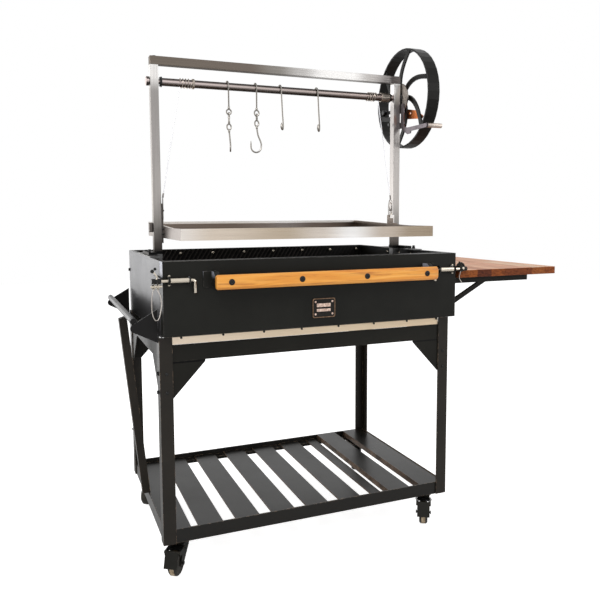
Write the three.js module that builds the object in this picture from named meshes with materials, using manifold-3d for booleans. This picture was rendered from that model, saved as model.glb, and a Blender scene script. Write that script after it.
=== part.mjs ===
// Wood and charcoal grill on a wheeled cart, with a cooking grate raised by a
// flywheel and two cables. Sizes in mm. X runs to the right, Y to the back and
// Z up. Sizes below are given from the left front foot of the fire box, and the
// whole assembly is shifted at the end so that it stands on the origin.
import * as THREE from 'three';
import { mergeVertices } from 'three/addons/utils/BufferGeometryUtils.js';
import Module from 'manifold-3d';

const wasm = await Module();
wasm.setup();

// Shared clearances
const GAP = 0.4;
const RUNNING_GAP = 0.8;
const OVERRUN = 5;
const WELD = 0.5;

// Facet counts
const ROUND_SIDES = 24;
const SMALL_SIDES = 12;
const WHEEL_SIDES = 20;
const PIN_SIDES = 8;
const BIG_SIDES = 40;
const END_STEPS = 6;

// Fire box and door
const DOOR_WIDTH = 965;
const DOOR_BOTTOM = 627;
const BOX_TOP = 838;
const DOOR_DEPTH = 44;
const HINGE_PIN_Y = 46;
const HINGE_PIN_Z = 622;
const HINGE_PIN_RADIUS = 2;
const HINGE_BORE_GAP = 0.5;
const KNUCKLE_RADIUS = 4.6;
const KNUCKLE_COUNT = 9;
const KNUCKLE_GAP = 1;
const KNUCKLE_FROM = 34;
const KNUCKLE_LEAF = 2;
const SHEET = 3;
const BOX_FRONT = 48;
const BOX_REAR = 677;
const BOX_FLOOR = 618;
const LIP_WIDTH = 14;
const WALL_LEFT = 0;
const WALL_RIGHT = DOOR_WIDTH;

// Legs, aprons and gussets
const LEG_WIDTH = 38;
const LEG_THICK = 4;
const LEG_OUTSET = 6;
const LEG_LEFT = -LEG_OUTSET;
const LEG_FRONT = 46;
const LEG_REAR = 662;
const LEG_TOP = BOX_FLOOR - GAP;
const APRON_TOP = 594;
const APRON_BOTTOM = 545;
const GUSSET_TOP = 540;
const GUSSET_LOW = 436;
const GUSSET_REACH = 131;
const GROOVE_DEPTH = 2;

// Lower shelf
const RAIL_HEIGHT = 42;
const RAIL_THICK = 4;
const RAIL_LEDGE = 32;
const LEDGE_TOP = 23;
const SLAT_THICK = 4;
const SLAT_TOP = LEDGE_TOP + SLAT_THICK;
const SLAT_WIDTH = 78;
const SLAT_FIRST = 106;
const WIDE_SLATS = 5;
const NARROW_SLAT = 38;
const NARROW_GAP = 14;
const EDGE_SLAT_RIGHT = 84;
const RAISED_INSET = 21;
const RAISED_OUTER_WIDTH = 74;
const RAISED_BETWEEN = 41;
const RAISED_INNER_WIDTH = 80;
const RAISED_OUTER_RIGHT = DOOR_WIDTH - RAISED_INSET;
const RAISED_OUTER_LEFT = RAISED_OUTER_RIGHT - RAISED_OUTER_WIDTH;
const RAISED_INNER_RIGHT = RAISED_OUTER_LEFT - RAISED_BETWEEN;
const RAISED_INNER_LEFT = RAISED_INNER_RIGHT - RAISED_INNER_WIDTH;
const RAISED_SLATS = [
  [RAISED_INNER_LEFT, RAISED_INNER_RIGHT], [RAISED_OUTER_LEFT, RAISED_OUTER_RIGHT],
];
const NARROW_LEFT = RAISED_INNER_LEFT - NARROW_GAP - NARROW_SLAT;
const SLAT_PITCH = (NARROW_LEFT - SLAT_FIRST) / WIDE_SLATS;
const RAISED_SHEET = 3;

// Casters
const CASTER_HEIGHT = 104;
const CASTER_X = 51;
const CASTER_Y = 48;
const CASTER_PLATE = 64;
const CASTER_PLATE_THICK = 4;
const CASTER_TRAIL = 34;
const CASTER_TURN_DEG = 33;
const WHEEL_RADIUS = 38;
const WHEEL_WIDTH = 28;
const WHEEL_EDGE = 5;
const HUB_BORE = 5;
const HUB_WIDTH = 33;
const HUB_RADIUS = 10;
const AXLE_RADIUS = 4;
const FORK_PLATE = 3;
const FORK_INSIDE = 35;
const FORK_NECK_RADIUS = 26;
const FORK_NECK_HEIGHT = 9;
const FORK_TOP_HALF = 23;
const FORK_FOOT_HALF = 11;
const FORK_CROWN = 19;
const PEDAL_WIDTH = 42;
const PEDAL_THICK = 5;
const PEDAL_TOP = 18;
const PEDAL_DROP = 46;
const PEDAL_LEAN = 16;
const PEDAL_ARM = 4;
const PEDAL_ARM_HEIGHT = 14;
const PEDAL_PIVOT_Y = -22;
const PEDAL_PIVOT_RADIUS = 2.4;
const PEDAL_CLEAR = 41;

// Side tray and its strut
const TRAY_FRONT = 56;
const TRAY_REAR = 664;
const CHEEK_THICK = 3.5;
const TRAY_INSIDE = LEG_LEFT - RUNNING_GAP;
const TRAY_LOW = 602;
const TRAY_CHEEK_TOP = 699;
const TRAY_APEX_X = -72;
const TRAY_APEX_Z = 648;
const TRAY_APEX_RADIUS = 12;
const TRAY_ARC_FROM_DEG = -112;
const TRAY_ARC_DEG = 140;
const LIP_CENTRE_X = -73.5;
const LIP_CENTRE_Z = 668;
const LIP_RADIUS = 9.5;
const TRAY_SHEET = 3;
const TRAY_SLOPE_X = LIP_CENTRE_X - TRAY_SHEET;
const TRAY_SLOPE_Z = LIP_CENTRE_Z - LIP_RADIUS;
const STRUT_MID_Y = 354;
const STRUT_HALF = 12.5;
const STRUT_FOOT_LEFT = -20.5;
const STRUT_HEAD_LEFT = -82;
const STRUT_WIDTH = 25;
const STRUT_HEAD_LEFT_Z = 633.6;
const STRUT_HEAD_RIGHT_Z = 641.6;

// Ash tray
const ASH_LEFT = 32.6;
const ASH_RIGHT = DOOR_WIDTH - ASH_LEFT;
const ASH_FRONT = 50;
const ASH_FACE = 3.5;
const ASH_BOTTOM = 595;
const ASH_TOP = 616;
const ASH_REAR = 630;
const ASH_INSET = 4;
const ASH_SHEET = 2;

// Lift frame
const POST_LEFT = 31.7;
const POST_SIZE = 25.7;
const POST_WALL = 2.4;
const POST_FRONT = 311;
const POST_FOOT = BOX_FLOOR + SHEET + GAP;
const BAR_TOP = 1465;
const BAR_HEIGHT = 26.3;
const POST_TOP = BAR_TOP - BAR_HEIGHT - GAP;
const POST_INNER = POST_LEFT + POST_SIZE;
const BAR_JOINT_INSET = 67;
const BAR_JOINT_X = DOOR_WIDTH - BAR_JOINT_INSET;
const BAR_JOINT_CUT = 1.2;
const POST_PAD_REACH = 120;
const POST_PAD_THICK = 3;
const POST_CLAMP_REACH = 60;
const POST_CLAMP_THICK = 9;
const POST_CLAMP_INSET = 6;
const STOP_ARM_TOP_DROP = 35;
const STOP_ARM_HEIGHT = 12;
const STOP_ARM_REAR = 428;
const STOP_KNOB_RADIUS = 8;

// Shaft, drum and flywheel
const SHAFT_Y = 324;
const SHAFT_DROP = 77;
const SHAFT_Z = BAR_TOP - SHAFT_DROP;
const STOP_ARM_TOP = SHAFT_Z - STOP_ARM_TOP_DROP;
const SHAFT_RADIUS = 12.4;
const JOURNAL_RADIUS = 7;
const JOURNAL_GAP = 1;
const SHAFT_TUBE_CLEAR = 4.6;
const SHAFT_TUBE_LEFT = POST_INNER + SHAFT_TUBE_CLEAR;
const SHAFT_TUBE_RIGHT = DOOR_WIDTH - SHAFT_TUBE_LEFT;
const SHAFT_CAP_OUTSET = 11.7;
const SHAFT_CAP_LEFT = POST_LEFT - SHAFT_CAP_OUTSET;
const SHAFT_CAP_RADIUS = 14;
const SHAFT_CAP_WIDTH = 9;
const COLLAR_INSET = 7;
const COLLAR_WIDTH = 47;
const COLLAR_RADIUS = 13.6;
const COLLAR_RIGHT = SHAFT_TUBE_RIGHT - COLLAR_INSET;
const COLLAR_LEFT = COLLAR_RIGHT - COLLAR_WIDTH;
const LEVER_GAP = 1.1;
const LEVER_THICK = 3.4;
const LEVER_LEFT = DOOR_WIDTH - POST_LEFT + LEVER_GAP;
const DISC_THICK = 4.6;
const DISC_RADIUS = 54;
const DISC_LEFT = LEVER_LEFT + LEVER_THICK + RUNNING_GAP;
const DISC_RIGHT = DISC_LEFT + DISC_THICK;
const SPIDER_BOSS_LEFT = DISC_RIGHT + RUNNING_GAP;
const RIM_SETBACK = 3;
const RIM_WIDTH = 45;
const WHEEL_RIM_LEFT = SPIDER_BOSS_LEFT + RIM_SETBACK;
const WHEEL_RIM_RIGHT = WHEEL_RIM_LEFT + RIM_WIDTH;
const FLYWHEEL_RADIUS = 178;
const RIM_THICK = 6;
const SPIDER_SETBACK = 4;
const SPIDER_LEFT = WHEEL_RIM_LEFT + SPIDER_SETBACK;
const SPIDER_THICK = 6;
const BOSS_REACH = 7;
const SHAFT_END = SPIDER_LEFT + SPIDER_THICK + BOSS_REACH;
const SPIDER_HUB_RADIUS = 32;
const SPIDER_BOSS_RADIUS = 17;
const SPIDER_ARMS = 6;
const SPIDER_FIRST_DEG = 13;
const SPIDER_SWIRL_DEG = 48;
const SPIDER_SWIRL_POWER = 1.3;
const SPIDER_ARM_INNER = 26;
const SPIDER_ARM_OUTER = FLYWHEEL_RADIUS - RIM_THICK / 2;
const SPIDER_ARM_STEPS = 9;
const SPIDER_ARM_WIDTH = 19;
const PLATE_LEFT = SPIDER_LEFT + SPIDER_THICK + GAP;
const PLATE_THICK = 4;
const PLATE_REACH = 130;
const PLATE_HEIGHT = 48;
const PLATE_REAR = -2;
const PLATE_DROP = -86;
const PLATE_OUTLINE_SHARES = [[0, 0.27], [0.946, 0], [1, 0.167], [0.646, 0.708], [0.123, 1]];
const PLATE_HOLE_Y = 44;
const PLATE_HOLE_Z = -57;
const PLATE_HOLE_RADIUS = 5;

// Cables
const CABLE_RADIUS = 1.7;
const COIL_RADIUS = SHAFT_RADIUS + CABLE_RADIUS + GAP;
const COIL_STEPS = 24;
const COIL_SIDES = 6;
const COIL_TURNS = 4;
const COIL_PITCH = 9;
const COIL_LEFT_INSET = 64;
const COIL_RIGHT_INSET = 65;
const COIL_LEFT_START = SHAFT_TUBE_LEFT + COIL_LEFT_INSET;
const COIL_RIGHT_START = SHAFT_TUBE_RIGHT - COIL_RIGHT_INSET;
const CABLE_TOP_DROP = 16;
const CABLE_TOP_Z = SHAFT_Z - CABLE_TOP_DROP;
const CABLE_FOOT_Z = 1021;
const CABLE_STEP = 3;
const CABLE_TOP_Y = 309;
const CABLE_FOOT_Y = 305;
const CABLE_LEFT_TOP_X = COIL_LEFT_START - CABLE_STEP;
const CABLE_LEFT_FOOT_X = 61;
const CABLE_RIGHT_TOP_X = COIL_RIGHT_START + CABLE_STEP;
const CABLE_RIGHT_FOOT_INSET = 72;
const CABLE_RIGHT_FOOT_X = DOOR_WIDTH - CABLE_RIGHT_FOOT_INSET;
const FERRULE_RADIUS = 3.4;
const FERRULE_LENGTH = 22;

// Brake lever
const LEVER_FRONT = 134;
const LEVER_REACH = 174;
const LEVER_LOW_DROP = 135;
const LEVER_LOW = SHAFT_Z - LEVER_LOW_DROP;
const LEVER_HEIGHT = 113;
const LEVER_EYE_RADIUS = 12;
const LEVER_PIVOT_Y = 318;
const LEVER_PIVOT_DROP = 99;
const LEVER_PIVOT_Z = SHAFT_Z - LEVER_PIVOT_DROP;
const LEVER_OUTLINE_SHARES = [
  [1, 0.39], [0.98, 1], [0.91, 1], [0.88, 0.86], [0.875, 0.35], [0.83, 0.24],
  [0.74, 0.21], [0.035, 0.21], [0, 0.15], [0.035, 0.09], [0.6, 0.08], [0.615, 0.01],
  [0.735, 0], [0.875, 0.115], [0.99, 0.24],
];
const GRIP_Y = 141;
const GRIP_DROP = 118;
const GRIP_Z = SHAFT_Z - GRIP_DROP;
const GRIP_RADIUS = 8;
const GRIP_PAST_RIM = 4;
const GRIP_END = WHEEL_RIM_RIGHT + GRIP_PAST_RIM;

// Cooking grate
const GRATE_LEFT = 62;
const GRATE_RIGHT = DOOR_WIDTH - GRATE_LEFT;
const GRATE_FRONT = 42;
const GRATE_REAR = 606;
const GRATE_BOTTOM = 893;
const GRATE_TOP = 927;
const GRATE_SHEET = 3;
const GRATE_REAR_TOP = 943;
const GRATE_RISE_Y = 190;
const GRATE_LIP_REACH = 11;
const GRATE_LIP_DROP = 8;
const GRATE_BARS = 30;
const GRATE_BAR_WIDTH = 18;
const GRATE_BAR_TOP = 910;
const GRATE_BAR_DROP = 11;
const GRATE_BAR_SHEET = 2;
const GUIDE_TOP = 964;
const GUIDE_REACH = 23;
const GUIDE_PLATE = 3.2;
const GUIDE_HOOK = 16;
const GUIDE_HOOK_HEIGHT = 40;
const LUG_HEIGHT = 12;
const LINK_HALF_WIDTH = 8;
const LINK_WIRE = 2;
const LINK_LOW = 958;
const LINK_HIGH = 1014;
const LINK_STEPS = 20;

// Door furniture
const HANDLE_LEFT = 136;
const HANDLE_RIGHT_INSET = 111;
const HANDLE_RIGHT = DOOR_WIDTH - HANDLE_RIGHT_INSET;
const HANDLE_FRONT = -70;
const HANDLE_THICK = 22;
const HANDLE_BOTTOM = 760;
const HANDLE_TOP = 801;
const HANDLE_BEVEL = 5;
const BRACKET_BOTTOM = 763;
const BRACKET_TOP = 808;
const BRACKET_NECK = 792;
const BRACKET_SHOULDER = 22;
const BRACKET_WEB = 138;
const BRACKET_WEB_WIDTH = 14;
const BRACKET_FLANGE = 114;
const BRACKET_FLANGE_THICK = 5;
const NAME_RIGHT_INSET = 440;
const NAME_WIDTH = 76;
const NAME_RIGHT = DOOR_WIDTH - NAME_RIGHT_INSET;
const NAME_LEFT = NAME_RIGHT - NAME_WIDTH;
const NAME_BOTTOM = 653;
const NAME_TOP = 713;
const NAME_THICK = 2.2;
const NAME_CORNER = 5;
const LATCH_Y = -13;
const LATCH_Z = 786;
const BOLT_RADIUS = 4.6;
const SLEEVE_RADIUS = 6.6;
const SLEEVE_BORE = 5.3;
const SLEEVE_FROM = 14;
const SLEEVE_TO = 74;
const SLEEVE_PLATE = 3;
const SLEEVE_FOOT = 6;
const SLEEVE_PLATE_HALF = 12;
const BOLT_TIP = -6;
const BOLT_TRAVEL = 8;
const BOLT_BEND = SLEEVE_TO + BOLT_TRAVEL + RUNNING_GAP;
const BOLT_TAIL_X = 88;
const BOLT_TAIL_Z = 750;
const BOLT_STEPS = 40;
const BOLT_SIDES = 8;
const KEEPER_NEAR = -7;
const KEEPER_FAR = -33;
const KEEPER_RADIUS = 7.4;
const KEEPER_BORE = 5.6;
const KEEPER_ARM_HALF = 8;
const KEEPER_ARM_THICK = 3;

// Folding side shelf
const BOARD_GAP = 22;
const BOARD_WIDTH = 412;
const BOARD_LEFT = DOOR_WIDTH + BOARD_GAP;
const BOARD_RIGHT = BOARD_LEFT + BOARD_WIDTH;
const BOARD_FRONT = 12;
const BOARD_REAR = 612;
const BOARD_DROP = 60;
const BOARD_THICK = 25;
const BOARD_TOP = BOX_TOP - BOARD_DROP;
const BOARD_BOTTOM = BOARD_TOP - BOARD_THICK;
const HINGE_OUTSET = 14;
const HINGE_DROP = 11;
const HINGE_X = DOOR_WIDTH + HINGE_OUTSET;
const HINGE_Z = BOARD_BOTTOM - HINGE_DROP;
const ARM_CENTRES = [60, 566];
const ARM_HALF = 11;
const ARM_SHEET = 2.5;
const ARM_LEFT = HINGE_X - 7;
const ARM_INSET = 92;
const ARM_RIGHT = BOARD_RIGHT - ARM_INSET;
const ARM_TOP = BOARD_BOTTOM - GAP;
const ARM_BOTTOM = HINGE_Z - ARM_HALF;
const BRACE_DROP = 85;
const BRACE_RUN = 147;
const BRACE_END_DROP = 5;
const BRACE_X = HINGE_X;
const BRACE_Z = HINGE_Z - BRACE_DROP;
const BRACE_END_X = BRACE_X + BRACE_RUN;
const BRACE_END_Z = HINGE_Z - BRACE_END_DROP;
const BRACE_HALF_WIDTH = 6;
const BRACE_HALF_HEIGHT = 7;
const BRACE_SHEET = 2.2;
const BRACE_NOTCH = 9;
const MOUNT_PLATE = 4;
const MOUNT_HALF = 7.5;
const MOUNT_REACH = 17;
const MOUNT_LOW = BRACE_Z - MOUNT_REACH;
const LUG_HALF = 5;
const BRACE_LUG_HALF = 2.5;
const LUG_RADIUS = 6;
const PIN_RADIUS = 3;
const PIN_GAP = 0.6;

// Hooks
const HOOK_SHARES = [0.264, 0.3805, 0.4935, 0.6528];
const HOOK_X = HOOK_SHARES.map(
  (share) => SHAFT_TUBE_LEFT + share * (SHAFT_TUBE_RIGHT - SHAFT_TUBE_LEFT));
const HOOK_WIRE = 2.6;
const HOOK_GAP = 0.9;
const HOOK_LOOP = SHAFT_RADIUS + HOOK_GAP + HOOK_WIRE;
const HOOK_SIDES = 6;
const HOOK_STEPS = 24;
const STEM_STEPS = 18;
const EYE_DROP = 82;
const EYE_CENTRE_Z = SHAFT_Z - EYE_DROP;
const EYE_LOOP = 8;
const EYE_STEPS = 14;
const EYE_LINK = 10;
const LOWER_EYE_Z = EYE_CENTRE_Z - EYE_LINK;
const LOWER_EYE_LOOP = 8;
const LOWER_HOOK_DROP = 193;
const LOWER_LOW_Z = SHAFT_Z - LOWER_HOOK_DROP;
const LOWER_HOOK_RADIUS = 17;
const PLAIN_HOOK_DROP = 118;
const PLAIN_HOOK_LOW = SHAFT_Z - PLAIN_HOOK_DROP;
const PLAIN_HOOK_RADIUS = 15;
const HOOK_TIP_RISE = 14;
const HOOK_WRAP_DEG = 256;

// The whole assembly is centred over its footprint and stands on the floor
const FOOTPRINT_LEFT = TRAY_APEX_X - TRAY_APEX_RADIUS;
const SHIFT_X = -(FOOTPRINT_LEFT + BOARD_RIGHT) / 2;
const SHIFT_Y = -(HANDLE_FRONT + BOX_REAR) / 2;
const SHIFT_Z = CASTER_HEIGHT;

// Solid modelling helpers
function toSolid(geometry) {
  geometry.deleteAttribute('normal');
  geometry.deleteAttribute('uv');
  const welded = mergeVertices(geometry, 1e-4);
  const vertProperties = new Float32Array(welded.attributes.position.array);
  const triVerts = new Uint32Array(welded.index.array);
  const mesh = new wasm.Mesh({ numProp: 3, vertProperties, triVerts });
  return new wasm.Manifold(mesh);
}

function toGeometry(solid) {
  const mesh = solid.getMesh();
  const geometry = new THREE.BufferGeometry();
  const points = new THREE.BufferAttribute(new Float32Array(mesh.vertProperties), 3);
  geometry.setAttribute('position', points);
  geometry.setIndex(new THREE.BufferAttribute(new Uint32Array(mesh.triVerts), 1));
  return geometry;
}

function block(x0, x1, y0, y1, z0, z1) {
  const geometry = new THREE.BoxGeometry(x1 - x0, y1 - y0, z1 - z0);
  geometry.translate((x0 + x1) / 2, (y0 + y1) / 2, (z0 + z1) / 2);
  return toSolid(geometry);
}

function barX(x0, x1, y, z, radius, sides = ROUND_SIDES) {
  const geometry = new THREE.CylinderGeometry(radius, radius, x1 - x0, sides);
  geometry.rotateZ(Math.PI / 2);
  geometry.translate((x0 + x1) / 2, y, z);
  return toSolid(geometry);
}

function barY(y0, y1, x, z, radius, sides = ROUND_SIDES) {
  const geometry = new THREE.CylinderGeometry(radius, radius, y1 - y0, sides);
  geometry.translate(x, (y0 + y1) / 2, z);
  return toSolid(geometry);
}

function barZ(z0, z1, x, y, radius, sides = ROUND_SIDES) {
  const geometry = new THREE.CylinderGeometry(radius, radius, z1 - z0, sides);
  geometry.rotateX(Math.PI / 2);
  geometry.translate(x, y, (z0 + z1) / 2);
  return toSolid(geometry);
}

function flat(outline, thick) {
  const shape = new THREE.Shape(outline.map(([a, b]) => new THREE.Vector2(a, b)));
  return new THREE.ExtrudeGeometry(shape, { depth: thick, bevelEnabled: false });
}

// Outline given as [x, z] pairs, standing between two Y values
function plateXZ(outline, y0, y1) {
  const geometry = flat(outline, y1 - y0);
  geometry.rotateX(Math.PI / 2);
  geometry.translate(0, y1, 0);
  return toSolid(geometry);
}

// Outline given as [y, z] pairs, standing between two X values
function plateYZ(outline, x0, x1) {
  const geometry = flat(outline, x1 - x0);
  geometry.rotateX(Math.PI / 2);
  geometry.rotateZ(Math.PI / 2);
  geometry.translate(x0, 0, 0);
  return toSolid(geometry);
}

// Outline given as [x, y] pairs, lying between two Z values
function plateXY(outline, z0, z1) {
  const geometry = flat(outline, z1 - z0);
  geometry.translate(0, 0, z0);
  return toSolid(geometry);
}

// Half circle of outline points, from its lower side round to its upper side
function roundEnd(a, b, radius) {
  const points = [];
  for (let i = 0; i <= END_STEPS; i += 1) {
    const angle = Math.PI * (i / END_STEPS - 0.5);
    points.push([a + radius * Math.cos(angle), b + radius * Math.sin(angle)]);
  }
  return points;
}

function wire(points, radius, steps, sides, closed = false) {
  const curve = new THREE.CatmullRomCurve3(points, closed, 'centripetal');
  const shape = new THREE.Shape();
  for (let i = 0; i < sides; i += 1) {
    const angle = (2 * Math.PI * i) / sides;
    const x = radius * Math.cos(angle);
    const y = radius * Math.sin(angle);
    if (i === 0) {
      shape.moveTo(x, y);
    } else {
      shape.lineTo(x, y);
    }
  }
  const options = { steps, extrudePath: curve, bevelEnabled: false };
  return toSolid(new THREE.ExtrudeGeometry(shape, options));
}

function joined(solids) {
  return solids.reduce((sum, next) => sum.add(next));
}

function mirrorX(solid) {
  return solid.mirror([1, 0, 0]).translate([DOOR_WIDTH, 0, 0]);
}

const MIDDLE_Y = (LEG_FRONT + LEG_REAR) / 2;

function mirrorY(solid) {
  return solid.mirror([0, 1, 0]).translate([0, 2 * MIDDLE_Y, 0]);
}

const group = new THREE.Group();
group.name = 'argentine_grill';

function addPart(name, solid, finish) {
  const placed = solid.translate([SHIFT_X, SHIFT_Y, SHIFT_Z]);
  const material = new THREE.MeshStandardMaterial(finish);
  material.name = finish.name;
  const mesh = new THREE.Mesh(toGeometry(placed), material);
  mesh.name = name;
  group.add(mesh);
}

// Finishes read from the photo
const BLACK_PAINT = { name: 'black_paint', color: 0x2a2826, roughness: 0.6, metalness: 0.3 };
const SHELF_STEEL = { name: 'shelf_steel', color: 0x4c4a48, roughness: 0.5, metalness: 0.5 };
const STAINLESS = { name: 'stainless', color: 0xb4aca2, roughness: 0.32, metalness: 1 };
const TRAY_STEEL = { name: 'tray_steel', color: 0xb0aeb0, roughness: 0.35, metalness: 0.9 };
const LINER_STEEL = { name: 'liner_steel', color: 0x141312, roughness: 0.7, metalness: 0.4 };
const WHEEL_BLACK = { name: 'wheel_black', color: 0x262626, roughness: 0.5, metalness: 0.4 };
const COPPER_PLATE = { name: 'copper_plate', color: 0xa8562a, roughness: 0.5, metalness: 0.6 };
const PLATE_BRONZE = { name: 'plate_bronze', color: 0x6a5338, roughness: 0.4, metalness: 0.8 };
const HANDLE_WOOD = { name: 'handle_wood', color: 0xe8a04c, roughness: 0.5, metalness: 0 };
const BOARD_WOOD = { name: 'board_wood', color: 0xa8683e, roughness: 0.5, metalness: 0 };
const RUBBER = { name: 'rubber', color: 0x1c1b1b, roughness: 0.8, metalness: 0 };
const CABLE_STEEL = { name: 'cable_steel', color: 0xc4c0ba, roughness: 0.4, metalness: 1 };

// Legs: steel angle, one at each corner
function leftFrontLeg() {
  const front = block(
    LEG_LEFT, LEG_LEFT + LEG_WIDTH, LEG_FRONT, LEG_FRONT + LEG_THICK, 0, LEG_TOP);
  const side = block(
    LEG_LEFT, LEG_LEFT + LEG_THICK, LEG_FRONT, LEG_FRONT + LEG_WIDTH, 0, LEG_TOP);
  return front.add(side);
}

const frontLeg = leftFrontLeg();
addPart('leg_front_left', frontLeg, BLACK_PAINT);
addPart('leg_front_right', mirrorX(frontLeg), BLACK_PAINT);
addPart('leg_rear_left', mirrorY(frontLeg), BLACK_PAINT);
addPart('leg_rear_right', mirrorX(mirrorY(frontLeg)), BLACK_PAINT);

// Aprons with their gussets, bolted inside the leg angles
const INNER_LEFT = LEG_LEFT + LEG_THICK + GAP;
const INNER_RIGHT = DOOR_WIDTH - INNER_LEFT;
const INNER_FRONT = LEG_FRONT + LEG_THICK + GAP;
const INNER_REAR = 2 * MIDDLE_Y - INNER_FRONT;

function apronOutline(from, to) {
  const nearTip = from + GUSSET_REACH;
  const farTip = to - GUSSET_REACH;
  const nearLow = from + LEG_WIDTH - LEG_THICK;
  const farLow = to - LEG_WIDTH + LEG_THICK;
  return [
    [from, APRON_TOP], [from, GUSSET_LOW], [nearLow, GUSSET_LOW], [nearTip, GUSSET_TOP],
    [nearTip, APRON_BOTTOM], [farTip, APRON_BOTTOM], [farTip, GUSSET_TOP],
    [farLow, GUSSET_LOW], [to, GUSSET_LOW], [to, APRON_TOP],
  ];
}

function frontApron() {
  const sheet = plateXZ(apronOutline(INNER_LEFT, INNER_RIGHT), INNER_FRONT, INNER_FRONT + SHEET);
  const groove = block(
    INNER_LEFT - OVERRUN, INNER_LEFT + GUSSET_REACH + OVERRUN,
    INNER_FRONT - OVERRUN, INNER_FRONT + GROOVE_DEPTH, GUSSET_TOP, APRON_BOTTOM);
  return sheet.subtract(groove);
}

const apronFront = frontApron();
addPart('apron_front', apronFront, BLACK_PAINT);
addPart('apron_rear', mirrorY(apronFront), BLACK_PAINT);

const SIDE_FROM = INNER_FRONT + SHEET + GAP;
const SIDE_TO = 2 * MIDDLE_Y - SIDE_FROM;
const apronLeft = plateYZ(apronOutline(SIDE_FROM, SIDE_TO), INNER_LEFT, INNER_LEFT + SHEET);
addPart('apron_left', apronLeft, BLACK_PAINT);
addPart('apron_right', mirrorX(apronLeft), BLACK_PAINT);

// Lower shelf: rails with an inner ledge, flat slats, two raised channel slats, caster plates
const LEDGE_UNDER = LEDGE_TOP - RAIL_THICK;

function shelfFrame() {
  const outer = block(INNER_LEFT, INNER_RIGHT, INNER_FRONT, INNER_REAR, 0, RAIL_HEIGHT);
  const above = block(
    INNER_LEFT + RAIL_THICK, INNER_RIGHT - RAIL_THICK,
    INNER_FRONT + RAIL_THICK, INNER_REAR - RAIL_THICK,
    LEDGE_TOP, RAIL_HEIGHT + OVERRUN);
  const below = block(
    INNER_LEFT + RAIL_THICK, INNER_RIGHT - RAIL_THICK,
    INNER_FRONT + RAIL_THICK, INNER_REAR - RAIL_THICK,
    -OVERRUN, LEDGE_UNDER);
  const opening = block(
    INNER_LEFT + RAIL_LEDGE, INNER_RIGHT - RAIL_LEDGE,
    INNER_FRONT + RAIL_LEDGE, INNER_REAR - RAIL_LEDGE,
    -OVERRUN, RAIL_HEIGHT + OVERRUN);
  return outer.subtract(above).subtract(below).subtract(opening);
}

const SLAT_NEAR = INNER_FRONT + RAIL_THICK - WELD;
const SLAT_FAR = INNER_REAR - RAIL_THICK + WELD;

function lowSlat(x0, x1) {
  return block(x0, x1, SLAT_NEAR, SLAT_FAR, LEDGE_TOP - WELD, SLAT_TOP);
}

function raisedSlat(x0, x1) {
  const solid = block(x0, x1, SLAT_NEAR, SLAT_FAR, LEDGE_TOP - WELD, RAIL_HEIGHT);
  const hollow = block(
    x0 + RAISED_SHEET, x1 - RAISED_SHEET, SLAT_NEAR - OVERRUN, SLAT_FAR + OVERRUN,
    LEDGE_TOP - OVERRUN, RAIL_HEIGHT - RAISED_SHEET);
  return solid.subtract(hollow);
}

// Corner plate under the ledge, with the caster's own plate below it
function casterPlate() {
  const half = CASTER_PLATE / 2;
  const y = LEG_FRONT + CASTER_Y;
  const corner = block(INNER_LEFT, CASTER_X + half, INNER_FRONT, y + half, 0, RAIL_THICK);
  const plate = block(
    CASTER_X - half, CASTER_X + half, y - half, y + half, -CASTER_PLATE_THICK, WELD);
  return corner.add(plate);
}

function lowerShelf() {
  const pieces = [shelfFrame(), lowSlat(INNER_LEFT + WELD, EDGE_SLAT_RIGHT)];
  for (let i = 0; i < WIDE_SLATS; i += 1) {
    const x = SLAT_FIRST + i * SLAT_PITCH;
    pieces.push(lowSlat(x, x + SLAT_WIDTH));
  }
  pieces.push(lowSlat(NARROW_LEFT, NARROW_LEFT + NARROW_SLAT));
  for (const [x0, x1] of RAISED_SLATS) {
    pieces.push(raisedSlat(x0, x1));
  }
  const plate = casterPlate();
  pieces.push(plate, mirrorX(plate), mirrorY(plate), mirrorX(mirrorY(plate)));
  return joined(pieces);
}

addPart('lower_shelf', lowerShelf(), SHELF_STEEL);

// Casters, all swung the same way as in the photo
const AXLE_Z = WHEEL_RADIUS - CASTER_HEIGHT;
const FORK_TOP = -CASTER_PLATE_THICK - GAP;
const FORK_OUTSIDE = FORK_INSIDE / 2 + FORK_PLATE;

function placeCaster(solid, x, y) {
  return solid.rotate([0, 0, -CASTER_TURN_DEG]).translate([x, y, 0]);
}

function forkLegOutline() {
  return [
    [-FORK_TOP_HALF, FORK_TOP - FORK_NECK_HEIGHT], [-CASTER_TRAIL - FORK_FOOT_HALF, AXLE_Z],
    [-CASTER_TRAIL - FORK_FOOT_HALF / 2, AXLE_Z - FORK_FOOT_HALF],
    [-CASTER_TRAIL + FORK_FOOT_HALF / 2, AXLE_Z - FORK_FOOT_HALF],
    [FORK_TOP_HALF, -FORK_CROWN - FORK_FOOT_HALF], [FORK_TOP_HALF, FORK_TOP - FORK_NECK_HEIGHT],
  ];
}

const PEDAL_PIVOT_Z = -PEDAL_TOP - PEDAL_ARM_HEIGHT / 2;

function pedalStub() {
  return barX(
    FORK_INSIDE / 2, FORK_OUTSIDE + GAP + PEDAL_ARM, PEDAL_PIVOT_Y, PEDAL_PIVOT_Z,
    PEDAL_PIVOT_RADIUS, PIN_SIDES);
}

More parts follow.
